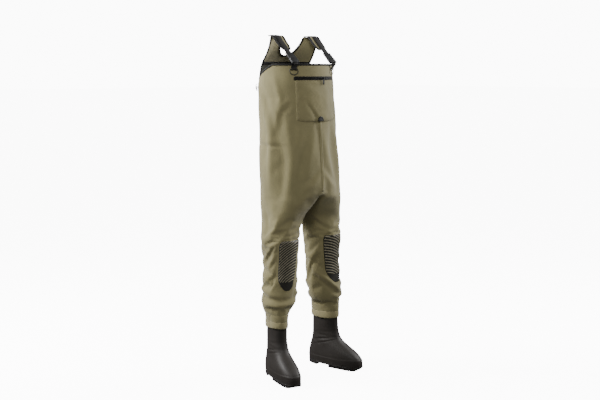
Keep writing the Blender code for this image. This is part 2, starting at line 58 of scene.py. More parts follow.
TORSO = np.array([      # z, half width, front half depth, back half depth, centre y
    (0.8000, 0.184, 0.151, 0.151, -0.001),
    (0.8650, 0.184, 0.153, 0.153, 0.003),
    (0.9450, 0.182, 0.153, 0.153, 0.007),
    (1.0550, 0.173, 0.150, 0.150, 0.014),
    (1.1840, 0.170, 0.150, 0.150, 0.023),
    (1.2600, 0.170, 0.149, 0.147, 0.027),
    (1.3460, 0.1667, 0.1391, 0.1172, 0.0281),
    (1.3850, 0.162, 0.110, 0.093, 0.012),
    (1.4250, 0.158, 0.090, 0.072, 0.005),
    (1.4660, 0.155, 0.080, 0.062, 0.002)])
LEG = np.array([        # z, centre x, centre y, half width, half depth, share of the crotch D section
    (0.2240, 0.140, -0.010, 0.0425, 0.0680, 0.00),
    (0.2800, 0.140, -0.010, 0.0430, 0.0685, 0.00),
    (0.3130, 0.137, -0.010, 0.062, 0.074, 0.00),
    (0.3350, 0.132, -0.009, 0.070, 0.076, 0.00),
    (0.3900, 0.125, -0.009, 0.072, 0.077, 0.00),
    (0.4600, 0.120, -0.009, 0.073, 0.077, 0.00),
    (0.5400, 0.118, -0.009, 0.074, 0.079, 0.00),
    (0.5900, 0.121, -0.009, 0.080, 0.085, 0.00),
    (0.6500, 0.112, -0.006, 0.080, 0.087, 0.00),
    (0.7000, 0.103, -0.004, 0.083, 0.096, 0.00),
    (0.7500, 0.096, -0.003, 0.087, 0.110, 0.45),
    (0.8000, 0.093, -0.002, 0.085, 0.120, 1.00)])
BOOT = np.array([       # z, heel, toe, half width
    (0.0220, -0.078, 0.192, 0.0430),
    (0.0400, -0.083, 0.196, 0.0465),
    (0.0600, -0.081, 0.184, 0.0455),
    (0.0780, -0.077, 0.160, 0.0425),
    (0.0930, -0.072, 0.130, 0.0405),
    (0.1090, -0.068, 0.100, 0.0390),
    (0.1290, -0.064, 0.078, 0.0375),
    (0.1600, -0.0625, 0.066, 0.0365),
    (0.2240, -0.0615, 0.0620, 0.0365),
    (SHAFT_TOP, -0.0615, 0.0615, 0.0365)])
SIDES = ((-1, "right"), (1, "left"))
BELOW_BINDING = 1.262       # the torso's rows are level up to here, and follow the hem above it
INNER_BAND_Z, LINING_Z, YOKE_SEAM_Z = (1.343, 1.357), (1.290, 1.344), (1.2835, 1.2935)
ZIP_TAPE_HALF, TEETH, TOOTH_SPAN = 0.0065, 136, 36.2
PAD_LOW, PAD_HIGH, RIB_PITCH, RIBS_FROM = 0.392, 0.606, 0.0125, 0.424


def table_at(table, z):
    """A smooth row of the table at height z: straight between rows, eased where the slope changes."""
    def line(h):
        return np.array([np.interp(h, table[:, 0], table[:, k]) for k in range(1, table.shape[1])])
    reach = 0.011
    lo, hi = table[0, 0], table[-1, 0]
    return sum(line(min(max(z + k * reach, lo), hi)) for k in (-1.5, -0.5, 0.5, 1.5)) / 4


# ---- materials ----
def new_material(name, rgb, rough, sheen=0.0, specular=0.5):
    mat = bpy.data.materials.new(name)
    mat.use_nodes = True
    shader = mat.node_tree.nodes["Principled BSDF"]
    shader.inputs["Base Color"].default_value = (*rgb, 1)
    shader.inputs["Roughness"].default_value = rough
    shader.inputs["Specular IOR Level"].default_value = specular
    shader.inputs["Sheen Weight"].default_value = sheen
    shader.inputs["Sheen Roughness"].default_value = 0.45
    mat.diffuse_color = (*rgb, 1)
    return mat, mat.node_tree, shader


def add(tree, kind, **settings):
    node = tree.nodes.new(kind)
    for key, value in settings.items():
        if key in node.inputs.keys():
            node.inputs[key].default_value = value
        else:
            setattr(node, key, value)
    return node


def on_object(tree, where, *textures):
    for node in textures:
        tree.links.new(where.outputs["Object"], node.inputs["Vector"])


def varied_colour(tree, shader, rgb, scale, amount, tint=(1, 1, 1)):
    """Soft uneven colour: a large mottle and a fine one, round the base colour."""
    where = add(tree, "ShaderNodeTexCoord")
    mottle = add(tree, "ShaderNodeTexNoise", Scale=scale, Detail=5.0, Roughness=0.6)
    on_object(tree, where, mottle)
    ramp = add(tree, "ShaderNodeValToRGB")
    dark = [max(0.0, c * (1 - amount)) for c in rgb]
    light = [min(1.0, c * (1 + amount) * t) for c, t in zip(rgb, tint)]
    ramp.color_ramp.elements[0].position, ramp.color_ramp.elements[1].position = 0.32, 0.68
    ramp.color_ramp.elements[0].color = (*dark, 1)
    ramp.color_ramp.elements[1].color = (*light, 1)
    tree.links.new(mottle.outputs["Fac"], ramp.inputs["Fac"])
    tree.links.new(ramp.outputs["Color"], shader.inputs["Base Color"])
    return where, mottle


def rough_from(tree, source, shader, lo, hi):
    spread = add(tree, "ShaderNodeMapRange")
    spread.inputs["To Min"].default_value, spread.inputs["To Max"].default_value = lo, hi
    tree.links.new(source.outputs["Fac"], spread.inputs["Value"])
    tree.links.new(spread.outputs["Result"], shader.inputs["Roughness"])


def bump_chain(tree, shader, layers):
    """Bumps one over another: (height socket, strength, distance)."""
    last = None
    for height, strength, distance in layers:
        bump = add(tree, "ShaderNodeBump", Strength=strength, Distance=distance)
        tree.links.new(height, bump.inputs["Height"])
        if last:
            tree.links.new(last.outputs["Normal"], bump.inputs["Normal"])
        last = bump
    tree.links.new(last.outputs["Normal"], shader.inputs["Normal"])


def knit(name, rgb, amount=0.10, sheen=0.35):
    """Jersey-faced neoprene: fine vertical wales, a soft nap and faint handling marks."""
    mat, tree, shader = new_material(name, rgb, 0.85, sheen=sheen, specular=0.20)
    shader.inputs["Sheen Tint"].default_value = (0.95, 0.92, 0.80, 1)
    where, mottle = varied_colour(tree, shader, rgb, 9.0, amount)
    rough_from(tree, mottle, shader, 0.78, 0.92)
    wales = add(tree, "ShaderNodeTexWave", Scale=330.0, Distortion=1.2, Detail=2.0,
                bands_direction="DIAGONAL")
    courses = add(tree, "ShaderNodeTexWave", Scale=300.0, Distortion=0.8, bands_direction="Z")
    nap = add(tree, "ShaderNodeTexNoise", Scale=900.0, Detail=2.0)
    rub = add(tree, "ShaderNodeTexNoise", Scale=60.0, Detail=4.0, Roughness=0.55)
    on_object(tree, where, wales, courses, nap, rub)
    bump_chain(tree, shader, [(rub.outputs["Fac"], 0.25, 0.0012), (wales.outputs["Fac"], 0.20, 0.0003),
                              (courses.outputs["Fac"], 0.15, 0.0003), (nap.outputs["Fac"], 0.20, 0.0002)])
    return mat


def woven(name, rgb, pitch, rough=0.7):
    """Black tape or webbing: a tight over-and-under weave."""
    mat, tree, shader = new_material(name, rgb, rough, sheen=0.04, specular=0.25)
    where, mottle = varied_colour(tree, shader, rgb, 60.0, 0.25)
    rough_from(tree, mottle, shader, rough - 0.08, rough + 0.10)
    warp = add(tree, "ShaderNodeTexWave", Scale=0.16 / pitch, bands_direction="X")
    weft = add(tree, "ShaderNodeTexWave", Scale=0.16 / pitch, bands_direction="Z")
    both = add(tree, "ShaderNodeMath", operation="MULTIPLY")
    on_object(tree, where, warp, weft)
    tree.links.new(warp.outputs["Fac"], both.inputs[0])
    tree.links.new(weft.outputs["Fac"], both.inputs[1])
    bump_chain(tree, shader, [(both.outputs["Value"], 0.5, 0.0004)])
    return mat


def moulded(name, rgb, lo, hi, grain=420.0, reflection_tint=(1, 1, 1)):
    """Moulded rubber or plastic: fine grain, softly uneven gloss."""
    mat, tree, shader = new_material(name, rgb, lo, specular=0.32)
    # the tint warms the light end of the mottle; on the sole this warmth is painted reflection of the brown
    # cast on the rubber
    where, mottle = varied_colour(tree, shader, rgb, 14.0, 0.12, reflection_tint)
    rough_from(tree, mottle, shader, lo, hi)
    fine = add(tree, "ShaderNodeTexNoise", Scale=grain, Detail=3.0, Roughness=0.6)
    wave = add(tree, "ShaderNodeTexNoise", Scale=38.0, Detail=2.0)
    on_object(tree, where, fine, wave)
    bump_chain(tree, shader, [(wave.outputs["Fac"], 0.12, 0.0020), (fine.outputs["Fac"], 0.18, 0.0003)])
    return mat


KHAKI = (0.176, 0.156, 0.077)
NEOPRENE = knit("neoprene_khaki", KHAKI)
NEOPRENE_LIGHT = knit("neoprene_khaki_cuff", (0.215, 0.190, 0.098), amount=0.08)
# a lighter copy of the khaki for the yoke's inner face: painted light that offsets the shade inside the back
NEOPRENE_INSIDE_PAINTED_LIGHT = knit("neoprene_khaki_inside_painted_light", (0.290, 0.258, 0.140))
LINING = knit("lining_dark", (0.030, 0.030, 0.021), sheen=0.15)
BINDING = woven("binding_black", (0.007, 0.0065, 0.006), 0.0012)
WEBBING = woven("webbing_black", (0.010, 0.009, 0.008), 0.0016)
THREAD, _, _ = new_material("thread_khaki", (0.17, 0.14, 0.08), 0.7, sheen=0.2)
THREAD_BLACK, _, _ = new_material("thread_black", (0.02, 0.02, 0.02), 0.6)
PLASTIC = moulded("plastic_black", (0.006, 0.006, 0.006), 0.50, 0.65, grain=900.0)
KNEE = moulded("knee_rubber_black", (0.012, 0.011, 0.008), 0.45, 0.60, grain=600.0)
KNEE_RIB = moulded("knee_rib_khaki", (0.200, 0.180, 0.122), 0.45, 0.60, grain=600.0)
# the warm brown in the boot and sole blacks is painted reflection of the brown cast seen on the rubber
BOOT_RUBBER = moulded("boot_rubber_black", (0.0155, 0.0122, 0.0100), 0.50, 0.66)
SOLE_RUBBER = moulded("sole_rubber_black", (0.012, 0.010, 0.009), 0.55, 0.72, reflection_tint=(1.1, 1.05, 1.0))


# ---- mesh helpers ----
def make(name, verts, faces, material, smooth=True, body="garment", slot=None, nodes=()):
    mesh = bpy.data.meshes.new(name)
    mesh.from_pydata([tuple(map(float, v)) for v in verts], [], [list(map(int, f)) for f in faces])
    work = bmesh.new()
    work.from_mesh(mesh)
    bmesh.ops.recalc_face_normals(work, faces=work.faces)
    work.to_mesh(mesh)
    work.free()
    if smooth:
        mesh.shade_smooth()
    piece = bpy.data.objects.new(name, mesh)
    bpy.context.collection.objects.link(piece)
    for mat in material if isinstance(material, (list, tuple)) else [material]:
        mesh.materials.append(mat)
    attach(piece, body)
    if nodes:
        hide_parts(*nodes)
    return piece


def grid_faces(rows, cols, ring=False, start=0):
    faces = []
    for r in range(rows - 1):
        for c in range(cols if ring else cols - 1):
            d = (c + 1) % cols
            faces.append((start + r * cols + c, start + r * cols + d,
                          start + (r + 1) * cols + d, start + (r + 1) * cols + c))
    return faces


def caps(m, rings, start=0):
    """The two end faces of a stack of rings of m points."""
    return [list(range(start, start + m)),
            [start + (rings - 1) * m + j for j in reversed(range(m))]]


def surface(at, rows, cols):
    """A grid of the points at(row, col)."""
    return np.array([[at(r, c) for c in cols] for r in rows])


def plate(name, front, back, material, ring=False, **where):
    """A closed thin body between two equal grids of points, shape (rows, cols, 3)."""
    rows, cols = front.shape[:2]
    n = rows * cols
    verts = np.concatenate([front.reshape(-1, 3), back.reshape(-1, 3)])
    faces = grid_faces(rows, cols, ring) + [f[::-1] for f in grid_faces(rows, cols, ring, n)]
    for r in (0, rows - 1):
        for c in range(cols if ring else cols - 1):
            d = (c + 1) % cols
            faces.append((r * cols + c, r * cols + d, n + r * cols + d, n + r * cols + c))
    if not ring:
        for c in (0, cols - 1):
            faces += [(r * cols + c, (r + 1) * cols + c, n + (r + 1) * cols + c, n + r * cols + c)
                      for r in range(rows - 1)]
    return make(name, verts, faces, material, **where)


def swept(name, spine, across, out, profile, material, closed=False, **where):
    """A profile of (across, out) points carried along a spine."""
    spine, across, out = map(np.asarray, (spine, across, out))
    prof = np.asarray(profile)
    n, m = len(spine), len(prof)
    verts = spine[:, None] + across[:, None] * prof[None, :, :1] + out[:, None] * prof[None, :, 1:]
    verts = verts.reshape(-1, 3)
    faces = []
    for i in range(n if closed else n - 1):
        for j in range(m):
            a, b = i * m, ((i + 1) % n) * m
            faces.append((a + j, a + (j + 1) % m, b + (j + 1) % m, b + j))
    if not closed:
        faces += caps(m, n)
    return make(name, verts, faces, material, **where)


def unit(v):
    return v / np.maximum(np.linalg.norm(v, axis=-1, keepdims=True), 1e-12)


def rounded(half, thick, arc=3):
    """A flat strip's profile with rounded edges."""
    r = thick / 2
    pts = []
    for side in (1, -1):
        for k in range(arc + 1):
            w = math.pi * (k / arc - 0.5 * side)
            pts.append((side * (half - r) + r * math.cos(w), r * math.sin(w)))
    return pts


STITCHES = {}


def stitch(points, normals, key="khaki", length=0.0026, gap=0.0011, width=0.00045, lift=0.0002):
    """Collects a row of stitches along a line lying on a surface."""
    points, normals = np.asarray(points), np.asarray(normals)
    seg = np.linalg.norm(np.diff(points, axis=0), axis=1)
    run = np.concatenate([[0], np.cumsum(seg)])
    bag = STITCHES.setdefault(key, [[], []])
    for k in range(int(run[-1] / (length + gap))):
        s0 = k * (length + gap)
        ends = [np.array([np.interp(s, run, points[:, i]) for i in range(3)]) for s in (s0, s0 + length)]
        up = unit(np.array([np.interp(s0, run, normals[:, i]) for i in range(3)]))
        along = unit(ends[1] - ends[0])
        side = np.cross(along, up)
        mid = (ends[0] + ends[1]) / 2 + up * lift
        base = len(bag[0])
        bag[0].extend([ends[0] + up * lift * 0.2, ends[1] + up * lift * 0.2, mid + side * width,
                       mid - side * width, mid + up * width, mid - up * width])
        for a, b in ((2, 4), (4, 3), (3, 5), (5, 2)):
            bag[1] += [(base, base + a, base + b), (base + 1, base + b, base + a)]


def stitch_pairs(line, **how):
    """Stitches along (point, normal) pairs."""
    stitch([p for p, _ in line], [n for _, n in line], **how)


# ---- the sewn shell: one continuous skin, torso ring splitting into two legs ----
COLS = 120                  # round the torso
CROSS = 36                  # along the crotch
TORSO_ROWS = np.linspace(CROTCH_Z, BELOW_BINDING, 72)
TOP_ROWS = 9                # above them, up to the shaped hem
LEG_ROWS = np.linspace(CROTCH_Z, CUFF_Z[2] - 0.004, 80)[1:]


def from_front(u):
    return u if u <= 180 else u - 360


def hem(u):
    return HEM_Z + (UNDERARM_Z - HEM_Z) * np.clip((np.abs(u) - 74.0) / 46.0, 0, 1)


def wobble(x, y, z, size, seed):
    return noise.noise(Vector((x / size + seed, y / size + seed * 0.7, z / size - seed)))


def ridge(u, z, line, width, height, squeeze=0.16):
    """Lift of a soft fold along a line of (angle, z) points; squeeze turns radians into metres round it."""
    p = np.array([u * math.radians(1) * squeeze, z])
    best, share = 9.0, 0.0
    pts = np.array([(a * math.radians(1) * squeeze, b) for a, b in line])
    total = len(pts) - 1
    for k in range(total):
        a, b = pts[k], pts[k + 1]
        t = np.clip(np.dot(p - a, b - a) / np.dot(b - a, b - a), 0, 1)
        d = np.linalg.norm(p - a - (b - a) * t)
        if d < best:
            best, share = d, (k + t) / total
    fade = math.sin(math.pi * min(max(share, 0.04), 0.96)) ** 0.6
    return height / 1000 * fade * math.exp(-(best / (width / 1000)) ** 2)


TORSO_FOLDS = [     # (line of (angle, z), width and height in millimetres)
    ([(-128, 1.285), (-96, 1.19), (-80, 1.06), (-80, 0.93), (-84, 0.79)], 18, 6.5),
    ([(-98, 1.24), (-72, 1.10), (-58, 0.96), (-60, 0.82)], 20, -6),
    ([(-72, 1.32), (-61, 1.20), (-47, 1.03), (-44, 0.90)], 16, 5),
    ([(-46, 1.10), (-30, 0.98), (-34, 0.84)], 18, -4.6),
    ([(-21, 1.185), (-9, 1.13), (-2, 1.03)], 8, -3.6),
    ([(-128, 1.016), (-90, 1.010), (-50, 1.006)], 5.5, -6),
    ([(-120, 1.036), (-90, 1.031), (-60, 1.026)], 14, 2.8),
    ([(-8, 1.08), (-20, 0.96), (-30, 0.87)], 15, 4.4),
    ([(4, 1.05), (10, 0.96), (20, 0.87)], 14, 3.6),
    ([(24, 1.10), (20, 0.99), (30, 0.89)], 16, -4.2),
    ([(42, 1.10), (36, 1.00), (46, 0.87)], 17, 5.4),
    ([(60, 1.27), (66, 1.12), (58, 0.98)], 18, 4.6),
    ([(78, 1.20), (76, 1.06), (84, 0.90)], 16, -5),
    ([(98, 1.25), (92, 1.06), (102, 0.88)], 20, 5.2),
    ([(2, 0.935), (-18, 0.87), (-46, 0.838)], 10, -5.2),
    ([(-1, 0.90), (-16, 0.845), (-34, 0.818)], 8, 4.2),
    ([(-2, 0.935), (18, 0.87), (46, 0.838)], 10, -5),
    ([(2, 0.90), (16, 0.845), (34, 0.818)], 8, 4.2),
    ([(150, 1.24), (140, 1.05), (152, 0.88)], 22, 5.2),
    ([(-150, 1.22), (-158, 1.04), (-148, 0.90)], 20, 5),
    ([(178, 0.96), (150, 0.87), (120, 0.83)], 14, -5),
    ([(-178, 0.96), (-150, 0.87), (-120, 0.83)], 14, -5),
    ([(170, 1.02), (120, 1.00), (95, 1.012)], 10, -4),
]
RIGHT_FOLDS = [     # angle is from the leg's front, positive outward
    ([(80, 0.79), (62, 0.70), (52, 0.60)], 16, 5.6),
    ([(104, 0.77), (92, 0.69), (84, 0.60)], 13, -5),
    ([(20, 0.79), (12, 0.70), (24, 0.622)], 14, 4.4),
    ([(-80, 0.76), (-50, 0.70), (-20, 0.655)], 10, 4.6),
    ([(-90, 0.70), (-60, 0.66), (-34, 0.632)], 9, -4.4),
    ([(130, 0.60), (92, 0.575), (56, 0.560)], 10, -5.2),
    ([(126, 0.49), (84, 0.475), (46, 0.452)], 9, -8.5),
    ([(116, 0.462), (80, 0.44), (50, 0.412)], 12, 6.4),
    ([(124, 0.395), (76, 0.388), (24, 0.366)], 11, 6.2),
    ([(112, 0.372), (60, 0.356), (0, 0.352), (-50, 0.360)], 6, -6.4),
    ([(110, 0.338), (40, 0.328), (-40, 0.334), (-100, 0.345)], 10, 7),
    ([(-30, 0.382), (-60, 0.370), (-110, 0.362)], 12, 8),
    ([(-20, 0.410), (-70, 0.430), (-110, 0.465)], 10, 5.4),
    ([(-60, 0.50), (-90, 0.53), (-140, 0.545)], 12, 5),
    ([(150, 0.58), (180, 0.545), (210, 0.555)], 10, -6.5),
    ([(140, 0.545), (180, 0.515), (215, 0.525)], 11, 5.6),
    ([(150, 0.38), (190, 0.355), (230, 0.37)], 10, 7),
    ([(150, 0.34), (190, 0.322), (230, 0.332)], 8, -5.6),
]
LEFT_FOLDS = [
    ([(-95, 0.48), (-50, 0.422), (0, 0.362), (35, 0.330)], 12, 11.5),
    ([(-84, 0.44), (-42, 0.385), (0, 0.335)], 8, -8),
    ([(-60, 0.53), (-85, 0.51), (-130, 0.52)], 11, 5.6),
    ([(-84, 0.50), (-60, 0.47), (-44, 0.452)], 8, -5),
    ([(20, 0.488), (60, 0.472), (100, 0.462)], 12, -8.5),
    ([(10, 0.385), (60, 0.372), (110, 0.382)], 15, 8),
    ([(20, 0.432), (70, 0.425), (120, 0.44)], 9, 4),
    ([(-20, 0.330), (40, 0.324), (100, 0.334)], 10, 6.8),
    ([(30, 0.355), (70, 0.348), (115, 0.355)], 6, -5.5),
    ([(70, 0.615), (90, 0.575), (70, 0.54)], 18, 5.6),
    ([(-85, 0.77), (-60, 0.71), (-30, 0.66)], 11, 5),
    ([(-70, 0.72), (-48, 0.675), (-24, 0.640)], 8, -4.8),
    ([(-100, 0.64), (-80, 0.600), (-50, 0.585)], 10, -5.2),
    ([(90, 0.77), (70, 0.71), (40, 0.66)], 14, 4.6),
    ([(150, 0.585), (180, 0.555), (215, 0.57)], 10, -6),
    ([(145, 0.55), (180, 0.52), (220, 0.535)], 11, 5.2),
    ([(130, 0.41), (180, 0.38), (240, 0.395)], 12, 7),
    ([(130, 0.365), (180, 0.345), (240, 0.355)], 8, -5.8),
]


def torso_point(u, z):
    a, front, back, cy = table_at(TORSO, z)
    r = math.radians(u)
    s, c = math.sin(r), math.cos(r)
    depth = front if c > 0 else back
    return np.array([a * s, SHIFT + cy - depth * c, z])


def leg_point(side, angle, z):
    """The leg's skin at an angle from its front, positive outward."""
    cx, cy, a, b, share = table_at(LEG, z)
    turn = math.radians(FOOT_SPLAY) * min(1.0, max(0.0, (0.62 - z) / 0.3))
    r = math.radians(angle)
    s, c = math.sin(r), math.cos(r)
    reach = 1.0 / math.sqrt((s / a) ** 2 + (c / b) ** 2)
    if share > 0.001:
        big_a, big_b = TORSO[0, 1], TORSO[0, 2]
        qa, qb, qc = (s / big_a) ** 2 + (c / big_b) ** 2, 2 * cx * s / big_a ** 2, (cx / big_a) ** 2 - 1
        outer = (-qb + math.sqrt(qb * qb - 4 * qa * qc)) / (2 * qa)
        inner = (cx - 0.0045) / -s if s < -0.02 else 9.0
        reach += ((outer ** -10 + inner ** -10) ** -0.1 - reach) * share
    x, y = reach * s, -reach * c
    return np.array([side * (cx + x * math.cos(turn) - y * math.sin(turn)),
                     SHIFT + cy + x * math.sin(turn) + y * math.cos(turn), z])


class Grid:
    """A grid of skin points by (height, angle), with a way to read a place and its normal off it."""
    def __init__(self, angles, heights, points):
        self.angles, self.heights, self.points = angles, heights, points

    def finish(self):
        p = self.points
        across = np.roll(p, -1, axis=1) - np.roll(p, 1, axis=1)
        if abs(self.angles[-1] - self.angles[0]) < 300:
            across = np.gradient(p, axis=1)
        upward = np.gradient(p, axis=0)
        n = unit(np.cross(across, upward))
        mid = p.mean(axis=1, keepdims=True)
        flip = np.sign((n * (p - mid)).sum(axis=-1, keepdims=True).mean())
        self.normals = n * flip

    def at(self, u, z, d=0.0):
        """Skin point and outward normal at angle u and height z, lifted by d."""
        a = self.angles
        step = a[1] - a[0]
        i = (u - a[0]) / step
        i0 = int(math.floor(i))
        t = i - i0
        n = len(a)
        cols = (i0 % n, (i0 + 1) % n)
        out = []
        for c in cols:
            h = self.heights[:, c]
            out.append([np.array([np.interp(z, h, src[:, c, k]) for k in range(3)])
                        for src in (self.points, self.normals)])
        p = out[0][0] * (1 - t) + out[1][0] * t
        nrm = unit(out[0][1] * (1 - t) + out[1][1] * t)
        return p + nrm * d, nrm


# vertex layout: torso rows from the crotch up, then each leg's rows from the crotch down
torso_u = np.arange(COLS) * 360.0 / COLS          # 0 front, 90 wearer's left, 180 back
heights = np.zeros((len(TORSO_ROWS) + TOP_ROWS, COLS))
for c, u in enumerate(torso_u):
    top = float(hem(from_front(u)))
    heights[:, c] = np.concatenate([TORSO_ROWS, np.linspace(TORSO_ROWS[-1], top, TOP_ROWS + 1)[1:]])
verts = []
index = {}


def push(key, p):
    index[key] = len(verts)
    verts.append(p)


for r in range(heights.shape[0]):
    for c, u in enumerate(torso_u):
        z = heights[r, c]
        p = torso_point(u, z)
        out = np.array([math.sin(math.radians(u)), -math.cos(math.radians(u)), 0])
        lift = sum(ridge(from_front(u), z, *fold) for fold in TORSO_FOLDS)
        calm = np.clip((heights[-1, c] - z) / 0.05, 0.15, 1)
        lift += 0.0030 * wobble(*p, 0.16, 3.1) * calm + 0.0012 * wobble(*p, 0.055, 8.2) * calm
        push(("t", r, c), p + out * lift * calm)
half = COLS // 2
front, back = verts[index[("t", 0, 0)]], verts[index[("t", 0, half)]]
for k in range(1, CROSS):
    t = k / CROSS
    dip = 0.004 * math.sin(math.pi * t)
    push(("x", k), back * (1 - t) + front * t - np.array([0, 0, dip]))

leg_keys = {}
for side, tag, folds in ((1, "left", LEFT_FOLDS), (-1, "right", RIGHT_FOLDS)):
    ring = [("t", 0, side * j % COLS) for j in range(half + 1)]     # front to back round the outside
    ring += [("x", k) for k in range(1, CROSS)]  # back to front along the crotch
    cx, cy = table_at(LEG, CROTCH_Z)[:2]
    rim = [verts[index[key]] for key in ring]
    angles = [math.degrees(math.atan2(p[0] * side - cx, -(p[1] - SHIFT - cy))) % 360 for p in rim]
    angles = np.degrees(np.unwrap(np.radians(angles)))
    angles -= 360 * round(angles[0] / 360)
    even = angles[0] + np.arange(len(ring)) * 360.0 / len(ring)
    rows = [ring]
    for r, z in enumerate(LEG_ROWS):
        row = []
        ease = min(1.0, max(0.0, (CROTCH_Z - z) / 0.10))
        ease = ease * ease * (3 - 2 * ease)
        for j in range(len(ring)):
            ang = angles[j] * (1 - ease) + even[j] * ease
            p = leg_point(side, ang, z)
            c = p - np.array([side * table_at(LEG, z)[0], SHIFT + table_at(LEG, z)[1], z])
            out = unit(c * np.array([1, 1, 0]))
            signed = from_front(ang)
            lift = 0
            for fold in folds:      # a fold that passes the leg's back is given past 180 degrees
                plain = signed > 0 or max(q[0] for q in fold[0]) < 181
                lift += ridge(signed if plain else signed + 360, z, *fold, squeeze=0.075)
            calm = min(1.0, (z - CUFF_Z[2]) / 0.03 + 0.15) * min(1.0, 0.2 + (CROTCH_Z - z) / 0.03)
            lift += (0.0030 * wobble(*p, 0.09, 5.0 + side) + 0.0016 * wobble(*p, 0.035, 2.0 + side)) * calm
            push((tag, r + 1, j), p + out * lift * calm)
            row.append((tag, r + 1, j))
        rows.append(row)
    leg_keys[tag] = (rows, even)

faces = []
for r in range(heights.shape[0] - 1):
    for c in range(COLS):
        d = (c + 1) % COLS
        faces.append([index[("t", r, c)], index[("t", r, d)], index[("t", r + 1, d)], index[("t", r + 1, c)]])
for tag in ("left", "right"):
    rows, _ = leg_keys[tag]
    for r in range(len(rows) - 1):
        n = len(rows[r])
        for j in range(n):
            k = (j + 1) % n
            quad = [index[rows[r + 1][j]], index[rows[r + 1][k]], index[rows[r][k]], index[rows[r][j]]]
            faces.append(quad if tag == "left" else quad[::-1])
verts = np.array(verts)


SETTLE_STEPS, SETTLE_CAP, FORM_INSET = 30, 0.007, 0.0075


def settle(points, polys, pin, cap):
    """Cloth pass: the skin is cut a little long and held at hem and ankles over an inner form, so it
    buckles into folds; no point moves further than cap."""
    def mesh_of(name, pts):
        mesh = bpy.data.meshes.new(name)
        mesh.from_pydata([tuple(p) for p in pts], [], polys)
        thing = bpy.data.objects.new(name, mesh)
        bpy.context.collection.objects.link(thing)
        return thing
    cloth = mesh_of("settling", points)
    cloth.data.update()
    normals = np.zeros(len(points) * 3)
    cloth.data.vertices.foreach_get("normal", normals)
    normals = normals.reshape(-1, 3)
    body = mesh_of("form", points - normals * FORM_INSET)
    body.modifiers.new("hit", "COLLISION")
    body.collision.thickness_outer = 0.0015
    body.collision.cloth_friction = 12
    group = cloth.vertex_groups.new(name="pin")
    for i, w in enumerate(pin):
        if w > 0:
            group.add([i], float(w), "REPLACE")
    mod = cloth.modifiers.new("cloth", "CLOTH")
    s = mod.settings
    s.quality, s.mass = 6, 0.5
    s.tension_stiffness = s.compression_stiffness = 18
    s.shear_stiffness, s.bending_stiffness = 8, 9.0
    s.effector_weights.gravity = 0.10
    s.vertex_group_mass = "pin"
    s.pin_stiffness = 1.0
    s.shrink_min = -0.014
    mod.collision_settings.distance_min = 0.0015
    mod.collision_settings.use_self_collision = False
    scene = bpy.context.scene
    scene.frame_start, scene.frame_end = 1, SETTLE_STEPS
    mod.point_cache.frame_start, mod.point_cache.frame_end = 1, SETTLE_STEPS
    for step in range(1, SETTLE_STEPS + 1):
        scene.frame_set(step)
    shown = cloth.evaluated_get(bpy.context.evaluated_depsgraph_get()).to_mesh()
    out = np.zeros(len(points) * 3)
    shown.vertices.foreach_get("co", out)
    out = out.reshape(-1, 3)
    scene.frame_set(1)
    for thing in (cloth, body):
        bpy.data.objects.remove(thing, do_unlink=True)
    move = out - points
    size = np.linalg.norm(move, axis=1, keepdims=True)
    return points + move * np.minimum(1, cap / np.maximum(size, 1e-9))


def relax(points, polys, rounds, share=0.5):
    """Evens the skin without losing its folds: two-way smoothing along its edges."""
    edges = np.array(sorted({tuple(sorted((f[i], f[(i + 1) % 4]))) for f in polys for i in range(4)}))
    count = np.zeros(len(points))
    np.add.at(count, edges[:, 0], 1)
    np.add.at(count, edges[:, 1], 1)
    p = points.copy()
    for k in range(rounds):
        total = np.zeros_like(p)
        np.add.at(total, edges[:, 0], p[edges[:, 1]])
        np.add.at(total, edges[:, 1], p[edges[:, 0]])
        mean = total / count[:, None]
        p += (mean - p) * (share if k % 2 == 0 else -share * 0.9) * free[:, None]
    return p


pin = np.zeros(len(verts))
free = np.ones(len(verts))
for key, i in index.items():
    z = verts[i][2]
    if key[0] == "t" and key[1] >= heights.shape[0] - 2:
        pin[i], free[i] = 1.0, 0.0
    elif key[0] == "t" and z > 1.09 and abs(verts[i][0]) < 0.12 and verts[i][1] < 0:
        pin[i] = 0.9
    elif key[0] == "t" and z > 1.20:
        pin[i] = 0.6
    elif key[0] in ("left", "right") and z < CUFF_Z[2] + 0.006:
        pin[i], free[i] = 1.0, 0.0
    elif key[0] in ("left", "right") and 0.40 < z < 0.60:
        ring = leg_keys[key[0]][1][key[2]] % 360
        pin[i] = 0.9 if min(ring, 360 - ring) < 48 else 0.0
verts = relax(verts, faces, 4)
verts = settle(verts, faces, pin, SETTLE_CAP)
verts = relax(verts, faces, 2, 0.35)

torso = Grid(torso_u, heights, surface(lambda r, c: verts[index[("t", r, c)]],
                                       range(len(heights)), range(COLS)))
torso.heights = torso.points[:, :, 2]
torso.finish()
legs = {}
for tag in ("left", "right"):
    rows, even = leg_keys[tag]
    low = [row for row in rows if verts[index[row[0]]][2] < 0.64][::-1]
    pts = np.array([[verts[index[k]] for k in row] for row in low])
    legs[tag] = Grid(even, pts[:, :, 2], pts)
    legs[tag].finish()

shell = make("garment_shell", verts, faces, [NEOPRENE, LINING],
             nodes=("torso_front", "torso_back", "crotch_gusset", "leg_front_left", "leg_front_right",
                    "leg_back_left", "leg_back_right"))
thick = shell.modifiers.new("thickness", "SOLIDIFY")
thick.thickness, thick.offset, thick.material_offset = WALL, -1, 1


# ---- yoke ----
def yoke_point(s, z):
    a, _, back_depth, cy = table_at(TORSO, z)
    across = YOKE_HALF[0] + (YOKE_HALF[1] - YOKE_HALF[0]) * (z - UNDERARM_Z) / (HORN_Z - UNDERARM_Z)
    x = s * across
    level = math.sqrt(1 - (x / a) ** 2)
    n = unit(np.array([x / a ** 2, level / back_depth, 0]))
    return np.array([x, SHIFT + cy + back_depth * level, z]), n


